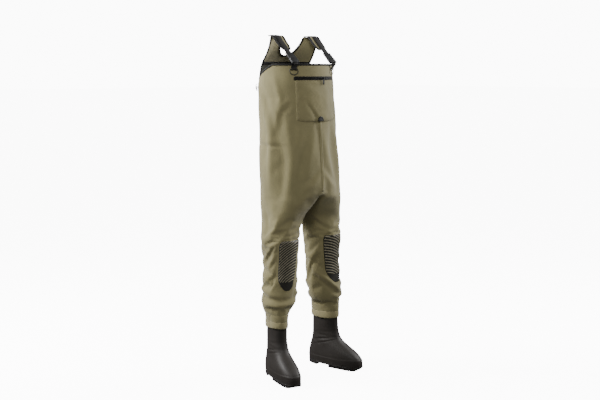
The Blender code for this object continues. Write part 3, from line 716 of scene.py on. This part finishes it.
def neckline(s):
    x = abs(s) * YOKE_HALF[1]
    return NECK_Z + (HORN_Z - NECK_Z) * min(1.0, x / HORN_INNER) ** 2.4


YOKE_COLS = np.concatenate([np.linspace(-1, -0.51, 12), np.linspace(-0.508, 0.508, 41),
                            np.linspace(0.51, 1, 12)])


def yoke_surface(d):
    def at(t, s):
        z = UNDERARM_Z - 0.001 + (neckline(s) - UNDERARM_Z + 0.001) * t
        p, n = yoke_point(s, z)
        soft = 0.0016 * wobble(*p, 0.07, 4.4) + 0.0022 * math.exp(-((s + 0.72) / 0.10) ** 2) * t
        return p + n * (d + soft * (1 - abs(s)) ** 0.3)
    return surface(at, np.linspace(0, 1, 26), YOKE_COLS)


shell = plate("back_yoke_shell", yoke_surface(0), yoke_surface(-WALL), NEOPRENE,
              nodes=("back_yoke",))
shell.data.materials.append(NEOPRENE_INSIDE_PAINTED_LIGHT)
for face in shell.data.polygons:        # the inner face gets a lighter copy of the khaki: painted light against the shade inside the yoke
    face.material_index = int(face.normal.x * face.center.x + face.normal.y * face.center.y < 0)


def yoke_strip(name, span, d0, d1, material, edge=0.96, **where):
    """A strip on the yoke between two heights, from d0 to d1 out of its face."""
    layers = [surface(lambda z, s: yoke_point(s, z)[0] + yoke_point(s, z)[1] * d,
                      np.linspace(*span, 4), np.linspace(-edge, edge, 60)) for d in (d1, d0)]
    return plate(name, *layers, material, **where)


yoke_strip("inner_band", INNER_BAND_Z, -WALL - 0.0024, -WALL + 0.0002, BINDING,
           nodes=("inner_back_band",))
yoke_strip("yoke_lining", LINING_Z, -WALL - 0.0012, -WALL + 0.0002, LINING, edge=0.97)
yoke_strip("yoke_seam", YOKE_SEAM_Z, -0.0004, 0.0014, NEOPRENE, edge=0.985)
for z in (YOKE_SEAM_Z[0] + 0.002, YOKE_SEAM_Z[1] - 0.002):
    line = [yoke_point(s, z) for s in np.linspace(-0.97, 0.97, 60)]
    stitch_pairs([(p + n * 0.0015, n) for p, n in line])


# ---- bindings ----
def tape_profile(half=0.0030, deep=0.0070, crown=0.0020):
    arc = [(half * math.cos(w), crown * math.sin(w)) for w in np.linspace(0, math.pi, 9)]
    return arc + [(-half, -deep * 0.92), (-half * 0.7, -deep), (half * 0.7, -deep), (half, -deep * 0.92)]


def bind(name, points, across, out, node, deep=0.0070, stitched=True):
    swept(name, points, across, out, tape_profile(deep=deep), BINDING, nodes=(node,))
    if stitched:
        line = np.asarray(points) + np.asarray(across) * 0.0031 - np.asarray(out) * (deep * 0.72)
        stitch(line, across, key="black")


hem_pts, hem_across, hem_out = [], [], []
for u in np.linspace(-121, 121, 122):
    top = float(hem(u)) - 0.0003
    p, n = torso.at(u % 360, top)
    below, _ = torso.at(u % 360, top - 0.012)
    up = unit(p - below)
    n = unit(n - up * np.dot(n, up))
    hem_pts.append(p - n * WALL / 2)
    hem_across.append(n)
    hem_out.append(up)
bind("hem_tape", hem_pts, hem_across, hem_out, "hem_binding")
neck = []
for s in np.linspace(-0.50, 0.50, 61):
    p, n = yoke_point(s, neckline(s))
    ahead, behind = yoke_point(s + 0.01, neckline(s + 0.01))[0], yoke_point(s - 0.01, neckline(s - 0.01))[0]
    out = unit(np.cross(unit(ahead - behind), n))
    out = out if out[2] > 0 else -out
    neck.append((p - n * WALL / 2 - out * 0.001, n, out))
bind("neck_tape", *map(list, zip(*neck)), "neck_binding", deep=0.0055)
for side, tag in SIDES:
    arm = []
    for z in np.linspace(1.289, 1.4585, 30):
        p, n = yoke_point(side, z)
        up = unit(yoke_point(side, z + 0.003)[0] - yoke_point(side, z - 0.003)[0])
        n = unit(n - up * np.dot(n, up))
        out = np.cross(up, n)
        out = out if out[0] * side > 0 else -out
        arm.append((p - n * WALL / 2 - out * 0.001, n, out))
    bind(f"armhole_tape_{tag}", *map(list, zip(*arm)), f"armhole_binding_{tag}", deep=0.0055)


# ---- chest pocket and zip ----
def pocket_floor(u):
    return POCKET_Z[0] + 0.010 * (abs(u) / POCKET_U) ** 6


def pocket_layer(outer):
    def at(t, u):
        z = pocket_floor(u) + (POCKET_Z[1] - pocket_floor(u)) * t
        d = 0.0003
        if outer:
            rim = min((1 - abs(u) / POCKET_U) * 16, t * 20, (1 - t) * 24)
            edge = 1 - math.exp(-max(rim, 0))
            puff = (1 - (u / POCKET_U) ** 2) * math.sin(math.pi * min(1, t * 1.15)) ** 0.8
            crease = ridge(u, z, [(-24, 1.20), (-8, 1.13), (-1, 1.11)], 6, -1.6)
            d = 0.0010 + 0.0022 * edge + 0.0036 * max(puff, 0) + crease
            d += 0.0012 * wobble(u * 0.003, 0, z, 0.03, 6.0) * edge
        return torso.at(u % 360, z, d)[0]
    return surface(at, np.linspace(0, 1, 60), np.linspace(-POCKET_U, POCKET_U, 75))


plate("pocket_pouch", pocket_layer(True), pocket_layer(False), NEOPRENE,
      nodes=("chest_pocket",))
for inset in (2.0, 3.2):
    side_z = np.linspace(POCKET_Z[0] + 0.010, POCKET_Z[1] - 0.003, 40)
    for sign in (-1, 1):
        stitch_pairs([torso.at((sign * (POCKET_U - inset)) % 360, z, 0.0036) for z in side_z])
for up in (0.0042, 0.0072):
    line = [torso.at(u % 360, pocket_floor(u) + up, 0.0036)
            for u in np.linspace(-POCKET_U + 2, POCKET_U - 2, 60)]
    stitch_pairs(line)


def chest_strip(name, reach, z0, z1, d0, d1, material, **where):
    """A strip across the chest, reach degrees to each side, from d0 to d1 out of the skin."""
    layers = [surface(lambda z, u: torso.at(u % 360, z, d)[0], np.linspace(z0, z1, 5),
                      np.linspace(-reach, reach, 90)) for d in (d1, d0)]
    return plate(name, *layers, material, **where)


chest_strip("zip_tape_piece", 39, ZIP_Z - ZIP_TAPE_HALF, ZIP_Z + ZIP_TAPE_HALF, 0.0002, 0.0014, BINDING,
            nodes=("zip_tape",))
bars, bar_faces = [], []
for k in range(TEETH):
    u = -TOOTH_SPAN + 2 * TOOTH_SPAN * k / (TEETH - 1)
    offset = 0.0007 if k % 2 else -0.0007
    p, n = torso.at(u % 360, ZIP_Z + offset, 0.0014)
    q, _ = torso.at((u + 0.25) % 360, ZIP_Z + offset, 0.0014)
    along, up = unit(q - p), np.array([0, 0, 1.0])
    base = len(bars)
    for lift, shrink in ((0.0, 1.0), (0.0015, 0.7)):
        for ea, eu in ((-1, -1), (1, -1), (1, 1), (-1, 1)):
            bars.append(p + n * lift + along * ea * 0.00058 * shrink + up * eu * 0.0017 * shrink)
    bar_faces += [(base, base + 1, base + 2, base + 3), (base + 4, base + 7, base + 6, base + 5)]
    bar_faces += [(base + i, base + (i + 1) % 4, base + 4 + (i + 1) % 4, base + 4 + i) for i in range(4)]
make("zip_teeth_piece", bars, bar_faces, PLASTIC, smooth=False, nodes=("zip_teeth",))
chest_strip("zip_guard", 38, ZIP_Z + 0.0046, ZIP_Z + 0.0080, 0.0008, 0.0030, BINDING)
for z in (ZIP_Z + 0.0090, ZIP_Z - 0.0092):
    stitch_pairs([torso.at(u % 360, z, 0.0006 if z > ZIP_Z else 0.0030) for u in np.linspace(-38, 38, 70)])


def refined(node, name, bevel, body, material):
    """The CAD piece with its edges rounded."""
    mesh = bpy.data.objects[node].data.copy()
    mesh.name = name
    work = bmesh.new()
    work.from_mesh(mesh)
    bmesh.ops.remove_doubles(work, verts=work.verts, dist=1e-5)
    bmesh.ops.dissolve_limit(work, angle_limit=math.radians(2), verts=work.verts, edges=work.edges)
    sharp = [e for e in work.edges if len(e.link_faces) == 2 and e.calc_face_angle(0) > math.radians(30)]
    bmesh.ops.bevel(work, geom=sharp, offset=bevel, segments=2, profile=0.6, affect="EDGES",
                    clamp_overlap=True)
    work.to_mesh(mesh)
    work.free()
    mesh.materials.clear()
    mesh.materials.append(material)
    mesh.shade_smooth()
    mesh.set_sharp_from_angle(angle=math.radians(40))
    piece = bpy.data.objects.new(name, mesh)
    bpy.context.collection.objects.link(piece)
    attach(piece, body)
    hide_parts(node)


refined("zip_slider", "zip_slider_piece", 0.0005, "zip_slider", PLASTIC)
refined("zip_pull", "zip_pull_piece", 0.0004, "zip_pull", PLASTIC)


# half-moon tab: a stiffened black half disc with a raised rim
def moon_layer(outer):
    def at(r, w):
        z = POCKET_Z[0] + 0.0028 + 0.0195 * r * math.sin(w)
        u = math.degrees(0.0140 * r * math.cos(w) / 0.17)
        crown = 0.0012 if 0.80 < r < 0.93 else 0.0
        d = 0.0060 + (0.0022 if r < 0.99 else 0.0008) + crown if outer else 0.0050
        return torso.at(u % 360, z, d)[0]
    return surface(at, np.linspace(1.0, 0.04, 9), np.linspace(0, math.pi, 25))


plate("half_moon_piece", moon_layer(True), moon_layer(False), PLASTIC, slot="binding",
      nodes=("half_moon_tab",))

# centre-front seam: a raised lap with a row of stitches each side
seam_z = np.linspace(CROTCH_Z + 0.012, POCKET_Z[0] + 0.002, 60)
seam_layers = [surface(lambda z, u: torso.at(u % 360, z, lift * (1 - (u / 2.6) ** 4))[0],
                       seam_z, np.linspace(-2.2, 2.2, 7)) for lift in (0.0012, -0.0008)]
plate("centre_seam_piece", *seam_layers, NEOPRENE, nodes=("centre_seam",))
for u in (-1.35, 1.35):
    stitch_pairs([torso.at(u % 360, z, 0.0013) for z in seam_z])
for u in (90, 270):                            # side seams
    stitch_pairs([torso.at(u, z, 0.0003) for z in np.linspace(CROTCH_Z + 0.01, 1.31, 80)], length=0.0032)


# ---- knee pads ----
def pad_half(z):
    """Half the pad's width at height z, in degrees round the leg."""
    return float(np.interp(z, [PAD_LOW, 0.399, 0.412, 0.430, 0.452, 0.585, 0.600, PAD_HIGH],
                           [8.0, 16.0, 25.0, 33.0, 38.0, 39.0, 36.0, 31.0]))


def pad_edges(z, tag):
    """Angles of the pad's inner and outer edges: on the right leg the inner edge sweeps in below the top."""
    half = pad_half(z)
    sweep = [0.8, 0.60, 0.62, 1.0] if tag == "right" else [1.0, 1.0, 1.0, 1.0]
    return -half * float(np.interp(z, [PAD_LOW, 0.43, 0.56, PAD_HIGH], sweep)), half


def rib_phase(s, z):
    """Whole numbers on the crests of the ribs, which rise toward the inner side in shallow arcs."""
    return (z + 0.014 * (s + 0.25) ** 2 + 0.022 * s) / RIB_PITCH


def ribbed(s, z):
    """How far the ribs stand up: not at the pad's rim nor in its smooth toe."""
    return min(1.0, max(0.0, (1 - abs(s)) * 9)) * min(1.0, max(0.0, (z - RIBS_FROM) / 0.012))


pad_z, pad_s = np.linspace(PAD_LOW, PAD_HIGH, 240), np.linspace(-1, 1, 33)


def pad_layer(tag, outer):
    def at(z, s):
        inner_edge, outer_edge = pad_edges(z, tag)
        angle = inner_edge + (outer_edge - inner_edge) * (s + 1) / 2
        d = 0.0004
        if outer:
            rim = min((1 - abs(s)) * 12, (z - PAD_LOW) / 0.004, (PAD_HIGH - z) / 0.004)
            edge = 1 - math.exp(-max(rim, 0))
            rib = max(0.0, math.cos(2 * math.pi * rib_phase(s, z))) ** 1.2
            d = 0.0012 + 0.0018 * edge + 0.0014 * rib * ribbed(s, z)
        return legs[tag].at(angle % 360, z, d)[0]
    return surface(at, pad_z, pad_s)


for _, tag in SIDES:
    pad = plate(f"knee_pad_piece_{tag}", pad_layer(tag, True), pad_layer(tag, False), [KNEE, KNEE_RIB],
                nodes=(f"knee_pad_{tag}",))
    for i, z in enumerate((pad_z[:-1] + pad_z[1:]) / 2):        # the outer layer's faces come first
        for j, s in enumerate((pad_s[:-1] + pad_s[1:]) / 2):
            if ribbed(s, z) > 0.5 and math.cos(2 * math.pi * rib_phase(s, z)) > 0.42:
                pad.data.polygons[i * (len(pad_s) - 1) + j].material_index = 1

# ---- ankle cuffs ----
def cuff_band(name, side, tag, z0, z1, lift, material, swell, hem_wave=0.0, flare=0.0):
    def layer(d):
        def at(t, angle):
            z = z0 + (z1 - z0) * t
            z += hem_wave * (1 - t) * math.sin(math.radians(angle * 2 + 40))
            p = leg_point(side, angle, z)
            out = unit(p - np.array([side * FOOT[0], SHIFT + FOOT[1], z]))
            tuck = -0.0018 * math.exp(-((angle - 62) / 5.0) ** 2)
            soft = 0.0010 * wobble(*p, 0.03, 9.0)
            return p + out * (d + swell * math.sin(math.pi * t) + flare * (1 - t) + tuck + soft)
        return surface(at, np.linspace(0, 1, 9), np.arange(72) * 5.0)
    plate(f"{name}_piece_{tag}", layer(lift), layer(-WALL), material, ring=True,
          nodes=(f"{name}_{tag}",))


for side, tag in SIDES:
    cuff_band("cuff_lower", side, tag, CUFF_Z[0], CUFF_Z[1], 0.0002, NEOPRENE_LIGHT, 0.0012, 0.0014, 0.0006)
    cuff_band("cuff_upper", side, tag, CUFF_Z[1] - 0.001, CUFF_Z[2] + 0.004, 0.0, NEOPRENE, 0.0016)
    for z, lift in ((CUFF_Z[1] + 0.0008, 0.0010), (CUFF_Z[2] - 0.003, 0.0012), (CUFF_Z[0] + 0.0045, 0.0012),
                    (CUFF_Z[1] - 0.0030, 0.0014)):
        ring_pts = [leg_point(side, a, z) for a in np.arange(0, 362, 5.0)]
        outs = [unit(p - np.array([side * FOOT[0], SHIFT + FOOT[1], z])) for p in ring_pts]
        stitch([p + o * lift for p, o in zip(ring_pts, outs)], outs)
    for angle in (90, 270):                     # outseam and inseam
        stitch_pairs([legs[tag].at(angle, z, 0.0003) for z in np.linspace(0.30, 0.62, 70)], length=0.0032)


# ---- boots ----
def foot_point(side, x, y, z):
    """A point x along the foot from the ankle's axis and y across it, outward."""
    turn = math.radians(FOOT_SPLAY)
    ahead = np.array([math.sin(turn) * side, -math.cos(turn), 0])
    across = np.array([math.cos(turn) * side, math.sin(turn), 0])
    base = np.array([FOOT[0] * side, FOOT[1] + SHIFT, 0])
    return base + ahead * x + across * y + np.array([0, 0, z])


def plan(z, w, inset=0.0):
    """Boot outline at height z and turn w: (along the foot, across it outward)."""
    heel, toe, half_w = table_at(BOOT, z)
    mid, reach = (heel + toe) / 2, (toe - heel) / 2 - inset
    longer = (toe - heel) / 2 - half_w
    power = 2.0 / (2.0 + 0.5 * min(1.0, longer / 0.08))
    swell = 0.10 * min(1.0, longer / 0.08)
    c, s = math.cos(w), math.sin(w)
    x = mid + reach * math.copysign(abs(c) ** power, c)
    y = (half_w - inset) * (1 + swell * c) * math.copysign(abs(s) ** power, s)
    return x, y


def boot_detail(x, y, z):
    """Raised parts and creases of the upper, as a lift along its outline."""
    def step(v, soft):
        return 1 / (1 + math.exp(-v / soft))
    rand = 0.0012 * step(0.044 + 0.006 * step(x - 0.13, 0.01) - z, 0.0007)
    counter_top = 0.112 - 0.9 * max(0.0, x + 0.035) ** 1.15
    counter = 0.0009 * step(counter_top - z, 0.0008) * step(0.030 - x, 0.002)
    cap = 0.0007 * step(x - 0.128 + 0.12 * (z - 0.04), 0.0009) * step(0.085 - z, 0.004)
    crease = 0.0
    for height, depth, lean in ((0.128, 0.0016, 0.16), (0.143, 0.0013, -0.10), (0.160, 0.0010, 0.12),
                                (0.112, 0.0012, 0.30)):
        at = height + lean * (x - 0.02)
        along = math.exp(-((x - 0.02) / 0.055) ** 2)
        crease -= depth * math.exp(-((z - at) / 0.0035) ** 2) * along
        crease += 0.6 * depth * math.exp(-((z - at - 0.007) / 0.0045) ** 2) * along
    shaft_seam = 0.0008 * math.exp(-(y / 0.0022) ** 2) * step(-x, 0.004) * step(z - 0.10, 0.004)
    wave = 0.0011 * wobble(x, y, z, 0.045, 7.7) * step(z - 0.05, 0.01)
    return rand + counter + cap + crease + shaft_seam + wave


BOOT_ROWS = np.concatenate([np.linspace(0.0215, 0.060, 26), np.linspace(0.0620, 0.130, 34),
                            np.linspace(0.134, SHAFT_TOP, 34)])
BOOT_TURNS = np.arange(96) * 2 * math.pi / 96
BOOT_WALL, INSOLE_Z = 0.0045, 0.031

for side, tag in SIDES:
    def outside(z, w):
        x, y = plan(z, w)
        x2, y2 = plan(z, w + 0.01)
        tangent = unit(np.array([x2 - x, y2 - y]))
        lift = boot_detail(x, y, z)
        return foot_point(side, x + tangent[1] * lift, y - tangent[0] * lift, z)

    outer = surface(outside, BOOT_ROWS, BOOT_TURNS)
    inner = surface(lambda z, w: foot_point(side, *plan(z, w, BOOT_WALL), z),
                    BOOT_ROWS[BOOT_ROWS > INSOLE_Z][::-1], BOOT_TURNS)
    rings = np.concatenate([outer, inner])
    n = len(BOOT_TURNS)
    fcs = grid_faces(len(rings), n, ring=True) + caps(n, len(rings))
    make(f"boot_piece_{tag}", rings.reshape(-1, 3), fcs,
         BOOT_RUBBER, nodes=(f"boot_upper_{tag}",))

    # outsole: welt, heel block and forefoot bars
    sole_pts, sole_faces = [], []

    def slab(outline, levels):
        """Stacked outlines (z, grow) closed at both ends."""
        m = len(outline)
        mid = np.mean(outline, axis=0)
        start = len(sole_pts)
        for z, grow in levels:
            for x, y in outline:
                gx, gy = unit(np.array([x, y]) - mid) * grow
                spring = 0.008 * max(0.0, (x - 0.165) / 0.03) ** 2 if z < 0.014 else 0.0
                high = min(z + spring, 0.0145) if z < 0.0145 else z
                sole_pts.append(foot_point(side, x + gx, y + gy, high))
        sole_faces.extend(grid_faces(len(levels), m, ring=True, start=start) + caps(m, len(levels), start))

    edge = [plan(0.0225, w) for w in np.arange(72) * 2 * math.pi / 72]
    slab(edge, [(0.0216, 0.0010), (0.0210, 0.0030), (0.0165, 0.0030), (0.0158, 0.0022), (0.0150, 0.0030),
                (0.0125, 0.0028), (0.0115, 0.0010)])
    heel_edge = sorted([q for q in edge if q[0] < -0.021], key=lambda q: math.atan2(q[1], q[0] + 0.035))
    slab(heel_edge, [(0.0120, 0.0020), (0.0070, 0.0020), (0.0062, 0.0008), (0.0054, 0.0018), (0.0012, 0.0010),
                     (0.0, -0.0004)])
    for x0 in np.arange(0.046, 0.180, 0.0125):
        x1 = x0 + 0.0090
        widths = [max(abs(y) for x, y in edge if abs(x - v) < 0.012) - 0.001 for v in (x0, x1)]
        bar = [(x0, -widths[0]), (x1, -widths[1]), (x1 + 0.002, 0.0), (x1, widths[1]), (x0, widths[0]),
               (x0 + 0.002, 0)]
        slab(bar, [(0.0120, 0.0), (0.0020, -0.0003), (0.0, -0.0012)])
    make(f"outsole_piece_{tag}", sole_pts, sole_faces, SOLE_RUBBER, smooth=False,
         nodes=(f"outsole_{tag}",))


# ---- straps, buckles, rings ----
STRAP_TOP, STRAP_END = np.array([0, 0.010, 1.443]), np.array([0, -0.1000, 1.344])
RUN = unit(STRAP_END - STRAP_TOP)
STRAP_OUT = np.array([0, RUN[2], -RUN[1]])
LIFT = WALL / 2 + 0.0006 + 0.0009     # webbing on the pad's outer face
OVER_HORN_Z, PAD_X, WEB_HALF, WEB_THICK = HORN_Z + 0.0026, 0.098, 0.015, 0.0016
JOINTS = {j["name"]: j for j in frame["joints"]}


def on_strap(s, lift=0.0):
    """(y, z) at a length s down the strap, lifted off its line."""
    p = STRAP_TOP + RUN * s + STRAP_OUT * lift
    return (p[1], p[2])


def smooth_path(points, count):
    """Points spread evenly along a curve that rounds the given corners."""
    p = np.asarray(points, float)
    for _ in range(3):
        cut = [p[0]]
        for a, b in zip(p, p[1:]):
            cut += [a * 0.75 + b * 0.25, a * 0.25 + b * 0.75]
        p = np.array(cut + [p[-1]])
    run = np.concatenate([[0], np.cumsum(np.linalg.norm(np.diff(p, axis=0), axis=1))])
    marks = np.linspace(0, run[-1], count)
    return np.array([[np.interp(m, run, p[:, k]) for k in range(p.shape[1])] for m in marks])


def strap_frames(path, x):
    """The path's points in space, with the way across it and the way out at each."""
    pts = np.array([(xx, y + SHIFT, z) for xx, (y, z) in zip(x, path)])
    along = unit(np.gradient(pts, axis=0))
    side_way = np.tile([1.0, 0, 0], (len(pts), 1))
    out = unit(np.cross(along, side_way))
    out *= np.sign(out[:, 2:3] + 1e-9)
    side_way = np.cross(out, along)
    return pts, side_way, out


for side, tag in SIDES:
    pad_path = [(0.0560, OVER_HORN_Z), (0.030, OVER_HORN_Z), (0.0175, 1.4530)]
    pad_path += [on_strap(run) for run in (0.002, 0.026, 0.044, 0.0555)]
    path = smooth_path(pad_path, 40)
    halves = np.interp(np.linspace(0, 1, 40), [0, 0.6, 0.80, 0.92, 1],
                       [0.0305, 0.0300, 0.0285, 0.0250, 0.0190])
    pts, side_way, out = strap_frames(path, np.full(40, PAD_X * side))
    layers = [surface(lambda i, c: pts[i] + side_way[i] * halves[i] * c
                      + face * out[i] * (0.0003 + 0.0012 * (1.0 - abs(c) ** 4)),
                      range(40), np.linspace(-1, 1, 15)) for face in (1, -1)]
    plate(f"strap_pad_piece_{tag}", *layers, NEOPRENE, nodes=(f"strap_pad_{tag}",))
    for e, word in ((-1, "a"), (1, "b")):
        edge_pts = pts + side_way * (halves[:, None] - 0.001) * e
        swept(f"strap_edge_{tag}_{word}", edge_pts, out, side_way * e,
              tape_profile(half=0.0024, deep=0.0085, crown=0.0016), BINDING)
    web_path = [(0.0540, OVER_HORN_Z + LIFT), (0.0300, OVER_HORN_Z + LIFT), (0.0160, 1.4530 + LIFT)]
    web_path += [on_strap(run, LIFT) for run in (0.002, 0.050, 0.080, 0.1085)]
    path = smooth_path(web_path, 60)
    pts, side_way, out = strap_frames(path, np.full(60, STRAP_X * side))
    swept(f"strap_web_{tag}", pts, side_way, out, rounded(WEB_HALF, WEB_THICK), WEBBING,
          nodes=(f"strap_webbing_{tag}",))
    for e in (-0.0125, 0.0125):
        stitch((pts + side_way * e + out * 0.0008)[:26], out[:26], key="black")
    for name, bevel, body, material in (
            ("buckle_prong", 0.0008, f"prong_{tag}", PLASTIC), ("buckle_socket", 0.0010, "garment", PLASTIC),
            ("strap_tab", 0.0003, "garment", WEBBING)):
        refined(f"{name}_{tag}", f"{name}_piece_{tag}", bevel, body, material)

refined("back_tab", "back_tab_piece", 0.0003, "garment", WEBBING)


def dee(name, hub, flat, out, half_w, drop, wire, body, node):
    """A moulded ring: straight bar on top, bow hanging below, round in section."""
    path = [(half_w * t, 0.0) for t in np.linspace(-0.9, 0.9, 9)]
    path += [(half_w, drop * 0.10), (half_w, drop * 0.35)]
    path += [(half_w * math.cos(a), drop * 0.35 + drop * 0.65 * math.sin(a))
             for a in np.linspace(0.2, math.pi - 0.2, 17)]
    path += [(-half_w, drop * 0.35), (-half_w, drop * 0.10)]
    pts = np.array([hub + flat * px + np.array([0, 0, -1.0]) * py for px, py in path])
    along = unit(np.roll(pts, -1, axis=0) - np.roll(pts, 1, axis=0))
    outs = np.tile(out, (len(pts), 1))
    side_way = np.cross(along, outs)
    circle = [(wire * math.cos(a), wire * math.sin(a)) for a in np.arange(12) * math.pi / 6]
    swept(name, pts, side_way, outs, circle, PLASTIC, closed=True, body=body,
          nodes=(node,))


def swing(name):
    """A ring joint's place, the way along its bar and the way out from the garment."""
    flat = unit(-np.array(JOINTS[name]["axis"], float))
    return np.array(JOINTS[name]["pos_m"], float), flat, np.cross(flat, [0, 0, 1.0])


for _, tag in SIDES:
    dee(f"d_ring_piece_{tag}", *swing(f"d_ring_swing_{tag}"), 0.0165, 0.0230, 0.0015, f"ring_{tag}",
        f"d_ring_{tag}")
back_hub, flat, back_out = swing("back_ring_swing")
dee("back_ring_piece", back_hub, flat, back_out, 0.0095, 0.0150, 0.0019, "ring_back", "back_ring")
# the tab's outer fold of webbing, standing off the garment round the ring's bar
bow = np.radians(np.linspace(90, -90, 15))
fold = np.array([back_hub + back_out * (0.0052 * math.cos(a) - 0.0010)
                 + np.array([0, 0, 0.0125 * math.sin(a)]) for a in bow])
fold_out = unit(np.cross(unit(np.gradient(fold, axis=0)), np.tile(flat, (len(bow), 1))))
swept("back_tab_fold", fold, np.tile(flat, (len(bow), 1)), fold_out, rounded(0.0058, 0.0026), WEBBING)

for key, (pts, fcs) in STITCHES.items():
    make(f"stitches_{key}", pts, fcs, THREAD if key == "khaki" else THREAD_BLACK, smooth=False)

# ---- floor, light, camera ----
floor_mesh = bpy.data.meshes.new("floor")
floor_mesh.from_pydata([(-60, -60, 0), (60, -60, 0), (60, 60, 0), (-60, 60, 0)], [], [(0, 1, 2, 3)])
floor = bpy.data.objects.new("floor", floor_mesh)
bpy.context.collection.objects.link(floor)
floor_mat, _, floor_shader = new_material("floor_white", (0.85, 0.85, 0.85), 0.9, specular=0.1)
floor_shader.inputs["Emission Color"].default_value = (1, 1, 1, 1)
floor_shader.inputs["Emission Strength"].default_value = 10.2
floor.visible_diffuse = floor.visible_glossy = False
floor_mesh.materials.append(floor_mat)

world = bpy.data.worlds.new("studio")
world.use_nodes = True
ambient = world.node_tree.nodes["Background"]
ambient.inputs["Color"].default_value = (1, 1, 1, 1)
backdrop = add(world.node_tree, "ShaderNodeBackground", Color=(1, 1, 1, 1), Strength=11.0)
seen = add(world.node_tree, "ShaderNodeLightPath")
either = add(world.node_tree, "ShaderNodeMixShader")
ambient.inputs["Strength"].default_value = 0.25
world.node_tree.links.new(seen.outputs["Is Camera Ray"], either.inputs["Fac"])
world.node_tree.links.new(ambient.outputs["Background"], either.inputs[1])
world.node_tree.links.new(backdrop.outputs["Background"], either.inputs[2])
world.node_tree.links.new(either.outputs["Shader"], world.node_tree.nodes["World Output"].inputs["Surface"])
bpy.context.scene.world = world


def lamp(name, where, aim, size, watts):
    data = bpy.data.lights.new(name, "AREA")
    data.shape, data.size, data.energy = "SQUARE", size, watts
    light = bpy.data.objects.new(name, data)
    light.location = where
    light.rotation_euler = (Vector(aim) - Vector(where)).to_track_quat("-Z", "Y").to_euler()
    bpy.context.collection.objects.link(light)


lamp("rim_left", (-1.95, 1.75, 2.2), (0, 0, 1.35), 1.2, 215)
lamp("rim_right", (2.57, -0.98, 2.2), (0, 0, 1.25), 1.2, 135)
lamp("top_front", (-1.7, -1.6, 2.6), (0, 0, 1.3), 1.0, 44)

CAMERA_TURN, CAMERA_FAR, CAMERA_HIGH, AIM_Z = math.radians(40.0), 4.1, 1.32, 0.760
cam = bpy.data.cameras.new("view_camera")
cam.lens = 57.0
camera = bpy.data.objects.new("view_camera", cam)
camera.location = (-CAMERA_FAR * math.sin(CAMERA_TURN), SHIFT - CAMERA_FAR * math.cos(CAMERA_TURN),
                   CAMERA_HIGH)
camera.rotation_euler = (Vector((0, SHIFT, AIM_Z)) - camera.location).to_track_quat("-Z", "Y").to_euler()
bpy.context.collection.objects.link(camera)
bpy.context.scene.camera = camera
